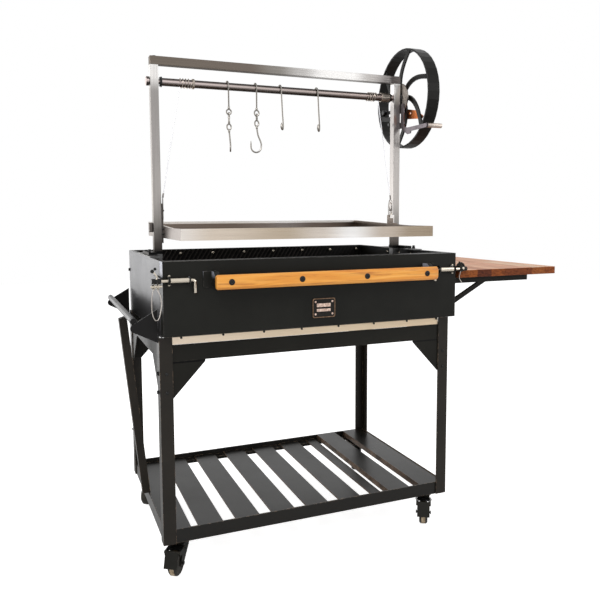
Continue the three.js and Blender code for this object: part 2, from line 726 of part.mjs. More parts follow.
function casterFork(braked) {
  const neck = barZ(
    FORK_TOP - FORK_NECK_HEIGHT, FORK_TOP, 0, 0, FORK_NECK_RADIUS, WHEEL_SIDES);
  const left = plateYZ(forkLegOutline(), -FORK_OUTSIDE, -FORK_INSIDE / 2);
  const right = plateYZ(forkLegOutline(), FORK_INSIDE / 2, FORK_OUTSIDE);
  const crownTop = FORK_TOP - FORK_NECK_HEIGHT + WELD;
  const crown = block(
    -FORK_OUTSIDE, FORK_OUTSIDE, -FORK_TOP_HALF, FORK_TOP_HALF,
    crownTop - FORK_PLATE, crownTop);
  const axle = barX(
    -FORK_OUTSIDE - FORK_PLATE, FORK_OUTSIDE + FORK_PLATE, -CASTER_TRAIL, AXLE_Z,
    AXLE_RADIUS, SMALL_SIDES);
  const stubs = braked ? [pedalStub(), pedalStub().mirror([1, 0, 0])] : [];
  return joined([neck, crown, left, right, axle, ...stubs]);
}

function casterWheel() {
  const half = WHEEL_WIDTH / 2;
  const hub = HUB_WIDTH / 2;
  const profile = [
    [HUB_BORE, -hub], [HUB_RADIUS, -hub], [HUB_RADIUS, -half], [WHEEL_RADIUS - WHEEL_EDGE, -half],
    [WHEEL_RADIUS, WHEEL_EDGE - half], [WHEEL_RADIUS, half - WHEEL_EDGE],
    [WHEEL_RADIUS - WHEEL_EDGE, half], [HUB_RADIUS, half], [HUB_RADIUS, hub], [HUB_BORE, hub],
    [HUB_BORE, -hub],
  ];
  const points = profile.map(([r, a]) => new THREE.Vector2(r, a));
  const geometry = new THREE.LatheGeometry(points, WHEEL_SIDES);
  geometry.rotateZ(-Math.PI / 2);
  geometry.translate(0, -CASTER_TRAIL, AXLE_Z);
  return toSolid(geometry);
}

function brakePedal() {
  const face = -CASTER_TRAIL - PEDAL_CLEAR;
  const head = face + PEDAL_LEAN;
  const foot = -PEDAL_TOP - PEDAL_DROP;
  const outline = [
    [head, -PEDAL_TOP], [face, foot], [face - PEDAL_THICK, foot],
    [head - PEDAL_THICK, -PEDAL_TOP],
  ];
  const plate = plateYZ(outline, -PEDAL_WIDTH / 2, PEDAL_WIDTH / 2);
  const outside = FORK_OUTSIDE + GAP;
  const reach = outside + PEDAL_ARM;
  const low = -PEDAL_TOP - PEDAL_ARM_HEIGHT;
  const sides = block(-reach, reach, head - PEDAL_THICK, head, low / 2 - PEDAL_TOP / 2, -PEDAL_TOP);
  const arm = pedalArm(head - PEDAL_THICK / 2, outside);
  return joined([plate, sides, arm, arm.mirror([1, 0, 0])]);
}

function pedalArm(frontY, outside) {
  const half = PEDAL_ARM_HEIGHT / 2;
  const outline = [[frontY, PEDAL_PIVOT_Z + half], [frontY, PEDAL_PIVOT_Z - half]];
  outline.push(...roundEnd(PEDAL_PIVOT_Y, PEDAL_PIVOT_Z, half));
  const arm = plateYZ(outline, outside, outside + PEDAL_ARM);
  const bore = barX(
    outside - OVERRUN, outside + PEDAL_ARM + OVERRUN, PEDAL_PIVOT_Y, PEDAL_PIVOT_Z,
    PEDAL_PIVOT_RADIUS + PIN_GAP, PIN_SIDES);
  return arm.subtract(bore);
}

const CASTER_POINTS = [
  ['front_left', CASTER_X, LEG_FRONT + CASTER_Y, true],
  ['front_right', DOOR_WIDTH - CASTER_X, LEG_FRONT + CASTER_Y, true],
  ['rear_left', CASTER_X, LEG_REAR - CASTER_Y, false],
  ['rear_right', DOOR_WIDTH - CASTER_X, LEG_REAR - CASTER_Y, false],
];

for (const [corner, x, y, braked] of CASTER_POINTS) {
  addPart(`caster_fork_${corner}`, placeCaster(casterFork(braked), x, y), BLACK_PAINT);
  addPart(`caster_wheel_${corner}`, placeCaster(casterWheel(), x, y), RUBBER);
  if (braked) {
    addPart(`brake_pedal_${corner}`, placeCaster(brakePedal(), x, y), BLACK_PAINT);
  }
}

// Fire box walls with folded lips
function keeperArm() {
  return block(
    KEEPER_NEAR - KEEPER_ARM_THICK, KEEPER_NEAR, LATCH_Y, BOX_FRONT + LEG_WIDTH,
    LATCH_Z - KEEPER_ARM_HALF, LATCH_Z + KEEPER_ARM_HALF);
}

function keeper() {
  const tube = barX(KEEPER_FAR, KEEPER_NEAR, LATCH_Y, LATCH_Z, KEEPER_RADIUS, SMALL_SIDES);
  const spacer = block(
    KEEPER_NEAR - KEEPER_ARM_THICK, WALL_LEFT + WELD, BOX_FRONT + KEEPER_ARM_HALF,
    BOX_FRONT + LEG_WIDTH, LATCH_Z - KEEPER_ARM_HALF, LATCH_Z + KEEPER_ARM_HALF);
  const bore = barX(
    KEEPER_FAR + KEEPER_ARM_THICK, KEEPER_NEAR + OVERRUN, LATCH_Y, LATCH_Z, KEEPER_BORE,
    SMALL_SIDES);
  return joined([tube, keeperArm(), spacer]).subtract(bore);
}

function leftWall() {
  const sheet = block(WALL_LEFT, WALL_LEFT + SHEET, BOX_FRONT, BOX_REAR, BOX_FLOOR, BOX_TOP);
  const lip = block(
    WALL_LEFT, WALL_LEFT + LIP_WIDTH, BOX_FRONT, BOX_REAR, BOX_TOP - SHEET, BOX_TOP);
  return joined([sheet, lip, keeper()]);
}

function shelfMount(y) {
  const plate = block(
    WALL_RIGHT - WELD, WALL_RIGHT + MOUNT_PLATE, y - MOUNT_HALF, y + MOUNT_HALF, MOUNT_LOW,
    BOARD_BOTTOM - GAP);
  const upperLug = mountLug(HINGE_X, HINGE_Z, y, LUG_HALF);
  const lowerLug = mountLug(BRACE_X, BRACE_Z, y, BRACE_LUG_HALF);
  return joined([plate, upperLug, lowerLug]);
}

function mountLug(x, z, y, half) {
  const outline = [[WALL_RIGHT, z + LUG_RADIUS], [WALL_RIGHT, z - LUG_RADIUS]];
  outline.push(...roundEnd(x, z, LUG_RADIUS));
  const bore = barY(
    y - half - OVERRUN, y + half + OVERRUN, x, z, PIN_RADIUS + PIN_GAP, SMALL_SIDES);
  return plateXZ(outline, y - half, y + half).subtract(bore);
}

function rightWall() {
  const plain = mirrorX(leftWall());
  return joined([plain, ...ARM_CENTRES.map(shelfMount)]);
}

addPart('wall_left', leftWall(), BLACK_PAINT);
addPart('wall_right', rightWall(), BLACK_PAINT);

const BACK_LEFT = WALL_LEFT + SHEET + GAP;
const BACK_RIGHT = WALL_RIGHT - SHEET - GAP;

function rearWall() {
  const sheet = block(BACK_LEFT, BACK_RIGHT, BOX_REAR - SHEET, BOX_REAR, BOX_FLOOR, BOX_TOP);
  const inset = LIP_WIDTH + GAP;
  const lip = block(
    WALL_LEFT + inset, WALL_RIGHT - inset, BOX_REAR - LIP_WIDTH, BOX_REAR,
    BOX_TOP - SHEET, BOX_TOP);
  const corner = block(
    WALL_LEFT - OVERRUN, WALL_LEFT + inset, BOX_REAR - LIP_WIDTH, BOX_REAR + OVERRUN,
    BOX_TOP - SHEET - GAP, BOX_TOP + OVERRUN);
  return sheet.subtract(corner).subtract(mirrorX(corner)).add(lip);
}

addPart('wall_rear', rearWall(), BLACK_PAINT);

// Fire box floor, which carries the door's hinge pin and every other knuckle
const FLOOR_REAR = BOX_REAR - SHEET - GAP;
const KNUCKLE_PITCH = (DOOR_WIDTH - 2 * KNUCKLE_FROM) / KNUCKLE_COUNT;

function knuckle(index) {
  const x = KNUCKLE_FROM + index * KNUCKLE_PITCH;
  return barX(
    x + KNUCKLE_GAP / 2, x + KNUCKLE_PITCH - KNUCKLE_GAP / 2, HINGE_PIN_Y, HINGE_PIN_Z,
    KNUCKLE_RADIUS, PIN_SIDES);
}

function knuckleLeaf(index, y0, y1, z0, z1) {
  const x = KNUCKLE_FROM + index * KNUCKLE_PITCH;
  return block(x + KNUCKLE_GAP / 2, x + KNUCKLE_PITCH - KNUCKLE_GAP / 2, y0, y1, z0, z1);
}

function fireFloor() {
  const front = HINGE_PIN_Y + KNUCKLE_RADIUS + RUNNING_GAP;
  const sheet = block(BACK_LEFT, BACK_RIGHT, front, FLOOR_REAR, BOX_FLOOR, BOX_FLOOR + SHEET);
  const pin = barX(
    KNUCKLE_FROM, DOOR_WIDTH - KNUCKLE_FROM, HINGE_PIN_Y, HINGE_PIN_Z, HINGE_PIN_RADIUS,
    PIN_SIDES);
  const pieces = [sheet, pin];
  for (let i = 0; i < KNUCKLE_COUNT; i += 2) {
    pieces.push(knuckle(i));
    pieces.push(knuckleLeaf(i, HINGE_PIN_Y, front + WELD, BOX_FLOOR, BOX_FLOOR + SHEET));
  }
  return joined(pieces);
}

addPart('firebox_floor', fireFloor(), LINER_STEEL);

const LINER_GAP = 16;
const LINER_TOP = BOX_TOP - SHEET - GAP;
const rearLiner = block(
  BACK_LEFT + LIP_WIDTH, BACK_RIGHT - LIP_WIDTH,
  BOX_REAR - LINER_GAP - SHEET, BOX_REAR - LINER_GAP,
  BOX_FLOOR + SHEET + GAP, LINER_TOP);
addPart('liner_rear', rearLiner, LINER_STEEL);

// Side tray: sloped pan with a rolled lip between two cheeks
function trayPan() {
  const outline = [
    [TRAY_INSIDE, TRAY_LOW], [TRAY_INSIDE, TRAY_LOW + TRAY_SHEET],
    [TRAY_SLOPE_X, TRAY_SLOPE_Z + TRAY_SHEET], [TRAY_SLOPE_X, TRAY_SLOPE_Z],
  ];
  const y0 = TRAY_FRONT + CHEEK_THICK + GAP;
  const y1 = TRAY_REAR - CHEEK_THICK - GAP;
  const lip = barY(y0, y1, LIP_CENTRE_X, LIP_CENTRE_Z, LIP_RADIUS);
  return plateXZ(outline, y0, y1).add(lip);
}

function cheekOutline() {
  const outline = [[TRAY_INSIDE, TRAY_CHEEK_TOP], [TRAY_INSIDE, TRAY_LOW]];
  const arc = SMALL_SIDES / 2;
  for (let i = 0; i <= arc; i += 1) {
    const angle = THREE.MathUtils.degToRad(TRAY_ARC_FROM_DEG - (TRAY_ARC_DEG * i) / arc);
    outline.push([
      TRAY_APEX_X + TRAY_APEX_RADIUS * Math.cos(angle),
      TRAY_APEX_Z + TRAY_APEX_RADIUS * Math.sin(angle),
    ]);
  }
  return outline;
}

addPart('tray_pan', trayPan(), TRAY_STEEL);
addPart(
  'tray_cheek_front', plateXZ(cheekOutline(), TRAY_FRONT, TRAY_FRONT + CHEEK_THICK), BLACK_PAINT);
addPart(
  'tray_cheek_rear', plateXZ(cheekOutline(), TRAY_REAR - CHEEK_THICK, TRAY_REAR), BLACK_PAINT);

const STRUT_FOOT_Z = RAIL_HEIGHT + GAP;
const strut = plateXZ([
  [STRUT_FOOT_LEFT, STRUT_FOOT_Z], [STRUT_FOOT_LEFT + STRUT_WIDTH, STRUT_FOOT_Z],
  [STRUT_HEAD_LEFT + STRUT_WIDTH, STRUT_HEAD_RIGHT_Z], [STRUT_HEAD_LEFT, STRUT_HEAD_LEFT_Z],
], STRUT_MID_Y - STRUT_HALF, STRUT_MID_Y + STRUT_HALF);
addPart('tray_strut', strut, BLACK_PAINT);

// Ash tray sliding between the legs
function ashTray() {
  const face = block(
    ASH_LEFT, ASH_RIGHT, ASH_FRONT, ASH_FRONT + ASH_FACE, ASH_BOTTOM, ASH_TOP);
  const pan = block(
    ASH_LEFT + ASH_INSET, ASH_RIGHT - ASH_INSET, ASH_FRONT + ASH_SHEET, ASH_REAR,
    ASH_BOTTOM, ASH_TOP - ASH_SHEET);
  const hollow = block(
    ASH_LEFT + ASH_INSET + ASH_SHEET, ASH_RIGHT - ASH_INSET - ASH_SHEET,
    ASH_FRONT + ASH_FACE, ASH_REAR - ASH_SHEET, ASH_BOTTOM + ASH_SHEET, ASH_TOP + OVERRUN);
  return face.add(pan.subtract(hollow));
}

addPart('ash_tray', ashTray(), STAINLESS);

// Lift frame
const POST_RIGHT_EDGE = POST_LEFT + POST_SIZE;
const POST_REAR = POST_FRONT + POST_SIZE;

function leftPost() {
  const tube = block(POST_LEFT, POST_RIGHT_EDGE, POST_FRONT, POST_REAR, POST_FOOT, POST_TOP);
  const bore = block(
    POST_LEFT + POST_WALL, POST_RIGHT_EDGE - POST_WALL,
    POST_FRONT + POST_WALL, POST_REAR - POST_WALL,
    POST_FOOT - OVERRUN, POST_TOP + OVERRUN);
  const padBase = BOX_TOP + GAP;
  const pad = block(
    WALL_LEFT, POST_LEFT + WELD, SHAFT_Y - POST_PAD_REACH, SHAFT_Y + POST_PAD_REACH,
    padBase, padBase + POST_PAD_THICK);
  const clamp = block(
    WALL_LEFT + POST_CLAMP_INSET, POST_LEFT + WELD,
    SHAFT_Y - POST_CLAMP_REACH, SHAFT_Y + POST_CLAMP_REACH,
    padBase + POST_PAD_THICK - WELD, padBase + POST_PAD_THICK + POST_CLAMP_THICK);
  const journal = barX(
    POST_LEFT - OVERRUN, POST_RIGHT_EDGE + OVERRUN, SHAFT_Y, SHAFT_Z,
    JOURNAL_RADIUS + JOURNAL_GAP, SMALL_SIDES);
  return joined([tube.subtract(bore), pad, clamp]).subtract(journal);
}

function rightPost() {
  const post = mirrorX(leftPost());
  const inner = DOOR_WIDTH - POST_LEFT;
  const arm = block(
    inner - WELD, inner + SHEET, POST_REAR - POST_SIZE / 2, STOP_ARM_REAR,
    STOP_ARM_TOP - STOP_ARM_HEIGHT, STOP_ARM_TOP);
  const knobZ = STOP_ARM_TOP - STOP_ARM_HEIGHT / 2;
  const knob = barX(
    inner - STOP_KNOB_RADIUS, inner + SHEET, STOP_ARM_REAR, knobZ, STOP_KNOB_RADIUS,
    SMALL_SIDES);
  const pivot = barX(
    inner - WELD, LEVER_LEFT + LEVER_THICK + RUNNING_GAP, LEVER_PIVOT_Y, LEVER_PIVOT_Z,
    PIN_RADIUS, SMALL_SIDES);
  return joined([post, arm, knob, pivot]);
}

addPart('post_left', leftPost(), STAINLESS);
addPart('post_right', rightPost(), STAINLESS);

function crossbar() {
  const right = DOOR_WIDTH - POST_LEFT;
  const bar = block(POST_LEFT, right, POST_FRONT, POST_REAR, POST_TOP + GAP, BAR_TOP);
  const seam = block(
    BAR_JOINT_X, BAR_JOINT_X + BAR_JOINT_CUT, POST_FRONT - OVERRUN,
    POST_FRONT + BAR_JOINT_CUT, POST_TOP, BAR_TOP + OVERRUN);
  return bar.subtract(seam);
}

addPart('crossbar', crossbar(), STAINLESS);

// Shaft with end cap, journals and collar
function shaft() {
  const tube = barX(SHAFT_TUBE_LEFT, SHAFT_TUBE_RIGHT, SHAFT_Y, SHAFT_Z, SHAFT_RADIUS);
  const core = barX(SHAFT_CAP_LEFT, SHAFT_END, SHAFT_Y, SHAFT_Z, JOURNAL_RADIUS);
  const cap = barX(
    SHAFT_CAP_LEFT, SHAFT_CAP_LEFT + SHAFT_CAP_WIDTH, SHAFT_Y, SHAFT_Z, SHAFT_CAP_RADIUS);
  const collar = barX(COLLAR_LEFT, COLLAR_RIGHT, SHAFT_Y, SHAFT_Z, COLLAR_RADIUS);
  return joined([tube, core, cap, collar]);
}

addPart('shaft', shaft(), STAINLESS);

// Flywheel: rolled flat rim on a spider of curved arms
function ringX(x0, x1, outer, inner, sides) {
  const rim = barX(x0, x1, SHAFT_Y, SHAFT_Z, outer, sides);
  return rim.subtract(barX(x0 - OVERRUN, x1 + OVERRUN, SHAFT_Y, SHAFT_Z, inner, sides));
}

function armCentre(radius, endAngle) {
  const reach = SPIDER_ARM_OUTER - SPIDER_ARM_INNER;
  const share = (SPIDER_ARM_OUTER - radius) / reach;
  const swirl = THREE.MathUtils.degToRad(SPIDER_SWIRL_DEG) * share ** SPIDER_SWIRL_POWER;
  return endAngle - swirl;
}

function armOutline(endAngle) {
  const near = [];
  const far = [];
  for (let i = 0; i <= SPIDER_ARM_STEPS; i += 1) {
    const share = i / SPIDER_ARM_STEPS;
    const radius = SPIDER_ARM_INNER + (SPIDER_ARM_OUTER - SPIDER_ARM_INNER) * share;
    const angle = armCentre(radius, endAngle);
    const half = SPIDER_ARM_WIDTH / 2 / radius;
    near.push(spiderPoint(radius, angle - half));
    far.unshift(spiderPoint(radius, angle + half));
  }
  return [...near, ...far];
}

function spiderPoint(radius, angle) {
  return [SHAFT_Y - radius * Math.sin(angle), SHAFT_Z + radius * Math.cos(angle)];
}

function flywheel() {
  const rim = ringX(
    WHEEL_RIM_LEFT, WHEEL_RIM_RIGHT, FLYWHEEL_RADIUS, FLYWHEEL_RADIUS - RIM_THICK, BIG_SIDES);
  const right = SPIDER_LEFT + SPIDER_THICK;
  const hub = barX(SPIDER_LEFT, right, SHAFT_Y, SHAFT_Z, SPIDER_HUB_RADIUS);
  const boss = barX(SPIDER_BOSS_LEFT, SHAFT_END, SHAFT_Y, SHAFT_Z, SPIDER_BOSS_RADIUS);
  const pieces = [rim, hub, boss];
  for (let i = 0; i < SPIDER_ARMS; i += 1) {
    const endAngle = THREE.MathUtils.degToRad(SPIDER_FIRST_DEG + (360 * i) / SPIDER_ARMS);
    pieces.push(plateYZ(armOutline(endAngle).reverse(), SPIDER_LEFT, right));
  }
  const bore = barX(
    SPIDER_BOSS_LEFT - OVERRUN, SHAFT_END + OVERRUN, SHAFT_Y, SHAFT_Z, JOURNAL_RADIUS + GAP);
  return joined(pieces).subtract(bore);
}

addPart('flywheel', flywheel(), WHEEL_BLACK);

const discSolid = ringX(
  DISC_LEFT, DISC_RIGHT, DISC_RADIUS, JOURNAL_RADIUS + GAP, BIG_SIDES);
addPart('brake_disc', discSolid, STAINLESS);

function flywheelPlate() {
  const outline = PLATE_OUTLINE_SHARES.map(([a, b]) => [
    SHAFT_Y - PLATE_REAR - a * PLATE_REACH, SHAFT_Z + PLATE_DROP + b * PLATE_HEIGHT,
  ]);
  const plate = plateYZ(outline, PLATE_LEFT, PLATE_LEFT + PLATE_THICK);
  const hole = barX(
    PLATE_LEFT - OVERRUN, PLATE_LEFT + PLATE_THICK + OVERRUN,
    SHAFT_Y - PLATE_HOLE_Y, SHAFT_Z + PLATE_HOLE_Z, PLATE_HOLE_RADIUS, SMALL_SIDES);
  return plate.subtract(hole);
}

addPart('flywheel_plate', flywheelPlate(), COPPER_PLATE);

// Cable windings on the shaft
function winding(start, direction) {
  const points = [];
  const count = COIL_TURNS * COIL_STEPS;
  for (let i = 0; i <= count; i += 1) {
    const angle = (2 * Math.PI * i) / COIL_STEPS;
    points.push(new THREE.Vector3(
      start + (direction * COIL_PITCH * i) / COIL_STEPS,
      SHAFT_Y - COIL_RADIUS * Math.cos(angle),
      SHAFT_Z + COIL_RADIUS * Math.sin(angle),
    ));
  }
  return wire(points, CABLE_RADIUS, count, COIL_SIDES);
}

addPart('winding_left', winding(COIL_LEFT_START, 1), CABLE_STEEL);
addPart('winding_right', winding(COIL_RIGHT_START, -1), CABLE_STEEL);
console.log('winding self gap', COIL_PITCH - 2 * CABLE_RADIUS);

// Lifting cables, one straight run each with a ferrule at its foot
function cable(topX, footX) {
  const top = new THREE.Vector3(topX, CABLE_TOP_Y, CABLE_TOP_Z);
  const foot = new THREE.Vector3(footX, CABLE_FOOT_Y, CABLE_FOOT_Z);
  const line = new THREE.LineCurve3(top, foot);
  const ferruleTop = line.getPoint(1 - FERRULE_LENGTH / line.getLength());
  const rope = wire([top, foot], CABLE_RADIUS, 1, HOOK_SIDES);
  return rope.add(wire([ferruleTop, foot], FERRULE_RADIUS, 1, HOOK_SIDES));
}

addPart('cable_left', cable(CABLE_LEFT_TOP_X, CABLE_LEFT_FOOT_X), CABLE_STEEL);
addPart('cable_right', cable(CABLE_RIGHT_TOP_X, CABLE_RIGHT_FOOT_X), CABLE_STEEL);

// Brake lever with its grip
function brakeLever() {
  const right = LEVER_LEFT + LEVER_THICK;
  const outline = LEVER_OUTLINE_SHARES.map(([a, b]) => [
    LEVER_FRONT + a * LEVER_REACH, LEVER_LOW + b * LEVER_HEIGHT,
  ]);
  const lever = plateYZ(outline, LEVER_LEFT, right);
  const eye = barX(LEVER_LEFT, right, LEVER_PIVOT_Y, LEVER_PIVOT_Z, LEVER_EYE_RADIUS);
  const bore = barX(
    LEVER_LEFT - OVERRUN, right + OVERRUN, LEVER_PIVOT_Y, LEVER_PIVOT_Z,
    PIN_RADIUS + PIN_GAP, SMALL_SIDES);
  const grip = barX(right - WELD, GRIP_END, GRIP_Y, GRIP_Z, GRIP_RADIUS);
  return joined([lever, eye]).subtract(bore).add(grip);
}

addPart('brake_lever', brakeLever(), STAINLESS);

// Cooking grate: a deep frame with V channels welded in, open side up
function grateBarOutline(middle) {
  const half = GRATE_BAR_WIDTH / 2;
  const low = GRATE_BAR_TOP - GRATE_BAR_DROP;
  return [
    [middle - half, GRATE_BAR_TOP], [middle, low], [middle + half, GRATE_BAR_TOP],
    [middle + half - GRATE_BAR_SHEET, GRATE_BAR_TOP], [middle, low + GRATE_BAR_SHEET],
    [middle - half + GRATE_BAR_SHEET, GRATE_BAR_TOP],
  ];
}

// Strip that follows the rising top edge of a side rail between two depths below it
const RISE_END_Y = GRATE_REAR - WELD;
const RISE_END_Z = GRATE_REAR_TOP - WELD;

function risingStrip(upper, lower, x0, x1) {
  return plateYZ([
    [GRATE_RISE_Y, GRATE_TOP - upper], [GRATE_RISE_Y, GRATE_TOP - lower],
    [RISE_END_Y, RISE_END_Z - lower], [RISE_END_Y, RISE_END_Z - upper],
  ], x0, x1);
}

function grateSide() {
  const web = plateYZ([
    [GRATE_FRONT, GRATE_TOP], [GRATE_FRONT, GRATE_BOTTOM], [RISE_END_Y, GRATE_BOTTOM],
    [RISE_END_Y, RISE_END_Z], [GRATE_RISE_Y, GRATE_TOP],
  ], GRATE_LEFT, GRATE_LEFT + GRATE_SHEET);
  const inner = GRATE_LEFT + GRATE_LIP_REACH;
  const lip = risingStrip(WELD, GRATE_LIP_DROP, GRATE_LEFT + WELD, inner);
  return web.add(lip);
}

function grateRear() {
  const web = block(
    GRATE_LEFT, GRATE_RIGHT, GRATE_REAR - GRATE_SHEET, GRATE_REAR, GRATE_BOTTOM,
    GRATE_REAR_TOP);
  const inner = GRATE_REAR - GRATE_LIP_REACH;
  const flange = block(
    GRATE_LEFT + WELD, GRATE_RIGHT - WELD, inner, GRATE_REAR - WELD,
    GRATE_REAR_TOP - GRATE_SHEET, GRATE_REAR_TOP);
  const lip = block(
    GRATE_LEFT + WELD, GRATE_RIGHT - WELD, inner, inner + GRATE_SHEET,
    GRATE_REAR_TOP - GRATE_LIP_DROP, GRATE_REAR_TOP);
  return joined([web, flange, lip]);
}

function grate() {
  const front = block(
    GRATE_LEFT, GRATE_RIGHT, GRATE_FRONT, GRATE_FRONT + GRATE_SHEET, GRATE_BOTTOM, GRATE_TOP);
  const side = grateSide();
  const pieces = [front, side, mirrorX(side), grateRear()];
  const span = GRATE_RIGHT - GRATE_LEFT - 2 * GRATE_SHEET;
  const pitch = span / GRATE_BARS;
  for (let i = 0; i < GRATE_BARS; i += 1) {
    const middle = GRATE_LEFT + GRATE_SHEET + (i + 0.5) * pitch;
    pieces.push(plateXZ(
      grateBarOutline(middle), GRATE_FRONT + GRATE_SHEET - WELD,
      GRATE_REAR - GRATE_SHEET + WELD));
  }
  return joined(pieces);
}

addPart('grate', grate(), STAINLESS);

// Guide plates that run on the posts, with the quick links of the cables
function guideLink(x) {
  const middle = (LINK_LOW + LINK_HIGH) / 2;
  const half = (LINK_HIGH - LINK_LOW) / 2;
  const ring = new THREE.TorusGeometry(LINK_HALF_WIDTH, LINK_WIRE, COIL_SIDES, LINK_STEPS);
  ring.rotateX(Math.PI / 2);
  ring.scale(1, 1, half / LINK_HALF_WIDTH);
  ring.translate(x, CABLE_FOOT_Y, middle);
  return toSolid(ring);
}

function leftGuide(linkX) {
  const x1 = GRATE_LEFT - GAP;
  const x0 = x1 - GUIDE_PLATE;
  const plate = block(
    x0, x1, SHAFT_Y - GUIDE_REACH, SHAFT_Y + GUIDE_REACH, GRATE_BOTTOM, GUIDE_TOP);
  const hookTop = GRATE_BOTTOM + GUIDE_HOOK_HEIGHT;
  const front = block(
    x0 - GUIDE_HOOK, x1, POST_FRONT - RUNNING_GAP - GUIDE_PLATE, POST_FRONT - RUNNING_GAP,
    GRATE_BOTTOM, hookTop);
  const rear = block(
    x0 - GUIDE_HOOK, x1, POST_REAR + RUNNING_GAP, POST_REAR + RUNNING_GAP + GUIDE_PLATE,
    GRATE_BOTTOM, hookTop);
  const lug = block(
    x0, Math.max(x1, linkX + LINK_WIRE * 2), CABLE_FOOT_Y - LUG_HALF, CABLE_FOOT_Y + LUG_HALF,
    GUIDE_TOP - LUG_HEIGHT, GUIDE_TOP);
  return joined([plate, front, rear, lug, guideLink(linkX)]);
}

addPart('grate_guide_left', leftGuide(CABLE_LEFT_FOOT_X), STAINLESS);
addPart(
  'grate_guide_right', mirrorX(leftGuide(DOOR_WIDTH - CABLE_RIGHT_FOOT_X)), STAINLESS);

// Drop down front door, with latch guides and handle brackets
function doorPan() {
  const pan = block(0, DOOR_WIDTH, 0, DOOR_DEPTH, DOOR_BOTTOM, BOX_TOP);
  const hollow = block(
    SHEET, DOOR_WIDTH - SHEET, SHEET, DOOR_DEPTH + OVERRUN,
    DOOR_BOTTOM + SHEET, BOX_TOP - SHEET);
  return pan.subtract(hollow);
}

function latchGuide() {
  const tube = barX(SLEEVE_FROM, SLEEVE_TO, LATCH_Y, LATCH_Z, SLEEVE_RADIUS, SMALL_SIDES);
  const foot = block(
    SLEEVE_FROM, SLEEVE_FROM + SLEEVE_FOOT, LATCH_Y, WELD,
    LATCH_Z - SLEEVE_PLATE_HALF, LATCH_Z + SLEEVE_PLATE_HALF);
  const disc = barX(
    SLEEVE_TO - SLEEVE_PLATE, SLEEVE_TO, LATCH_Y, LATCH_Z, SLEEVE_PLATE_HALF, SMALL_SIDES);
  const web = block(
    SLEEVE_TO - SLEEVE_PLATE, SLEEVE_TO, LATCH_Y, WELD,
    LATCH_Z - SLEEVE_RADIUS, LATCH_Z + SLEEVE_RADIUS);
  const bore = barX(
    SLEEVE_FROM - OVERRUN, SLEEVE_TO + OVERRUN, LATCH_Y, LATCH_Z, SLEEVE_BORE, SMALL_SIDES);
  return joined([tube, foot, disc, web]).subtract(bore);
}

function handleBracket() {
  const back = HANDLE_FRONT + HANDLE_THICK + GAP;
  const shoulder = back + BRACKET_SHOULDER;
  const outline = [
    [WELD, BRACKET_BOTTOM], [WELD, BRACKET_TOP], [shoulder, BRACKET_TOP],
    [back, BRACKET_NECK], [back, BRACKET_BOTTOM],
  ];
  const web = plateYZ(outline, BRACKET_WEB, BRACKET_WEB + BRACKET_WEB_WIDTH);
  const flange = block(
    BRACKET_FLANGE, BRACKET_WEB + BRACKET_WEB_WIDTH, -BRACKET_FLANGE_THICK, WELD,
    BRACKET_BOTTOM, BRACKET_TOP);
  return web.add(flange);
}

function doorKnuckles() {
  const bore = barX(
    0, DOOR_WIDTH, HINGE_PIN_Y, HINGE_PIN_Z, HINGE_PIN_RADIUS + HINGE_BORE_GAP, PIN_SIDES);
  const leafFront = HINGE_PIN_Y - KNUCKLE_RADIUS;
  const pieces = [];
  for (let i = 1; i < KNUCKLE_COUNT; i += 2) {
    pieces.push(knuckle(i));
    pieces.push(knuckleLeaf(
      i, leafFront, leafFront + KNUCKLE_LEAF, HINGE_PIN_Z, DOOR_BOTTOM + WELD));
  }
  return joined(pieces).subtract(bore);
}

function door() {
  const guide = latchGuide();
  const bracket = handleBracket();
  const furniture = [guide, mirrorX(guide), bracket, rightBracket(bracket)];
  return joined([doorPan(), doorKnuckles(), ...furniture]);
}

const BRACKET_RIGHT_SHIFT = HANDLE_LEFT + HANDLE_RIGHT - DOOR_WIDTH;

function rightBracket(bracket) {
  return mirrorX(bracket).translate([BRACKET_RIGHT_SHIFT, 0, 0]);
}

addPart('front_door', door(), BLACK_PAINT);

function handle() {
  const y1 = HANDLE_FRONT + HANDLE_THICK;
  const c = HANDLE_BEVEL;
  const outline = [
    [HANDLE_FRONT + c, HANDLE_BOTTOM], [y1 - c, HANDLE_BOTTOM], [y1, HANDLE_BOTTOM + c],
    [y1, HANDLE_TOP - c], [y1 - c, HANDLE_TOP], [HANDLE_FRONT + c, HANDLE_TOP],
    [HANDLE_FRONT, HANDLE_TOP - c], [HANDLE_FRONT, HANDLE_BOTTOM + c],
  ];
  return plateYZ(outline, HANDLE_LEFT, HANDLE_RIGHT);
}

addPart('door_handle', handle(), HANDLE_WOOD);

function namePlate() {
  const x0 = NAME_LEFT;
  const x1 = NAME_RIGHT;
  const c = NAME_CORNER;
  const outline = [
    [x0 + c, NAME_BOTTOM], [x1 - c, NAME_BOTTOM], [x1, NAME_BOTTOM + c], [x1, NAME_TOP - c],
    [x1 - c, NAME_TOP], [x0 + c, NAME_TOP], [x0, NAME_TOP - c], [x0, NAME_BOTTOM + c],
  ];
  return plateXZ(outline, -NAME_THICK - GAP, -GAP);
}

addPart('name_plate', namePlate(), PLATE_BRONZE);

// Slide bolts with a bent tail
function slideBolt() {
  const points = [
    [BOLT_TIP, LATCH_Z], [SLEEVE_FROM, LATCH_Z], [SLEEVE_TO, LATCH_Z], [BOLT_BEND, LATCH_Z],
    [BOLT_TAIL_X, LATCH_Z - BOLT_RADIUS], [BOLT_TAIL_X, LATCH_Z - BOLT_RADIUS * 2],
    [BOLT_TAIL_X, BOLT_TAIL_Z],
  ].map(([x, z]) => new THREE.Vector3(x, LATCH_Y, z));
  return wire(points, BOLT_RADIUS, BOLT_STEPS, BOLT_SIDES);
}

const bolt = slideBolt();
addPart('latch_bolt_left', bolt, STAINLESS);
addPart('latch_bolt_right', mirrorX(bolt), STAINLESS);

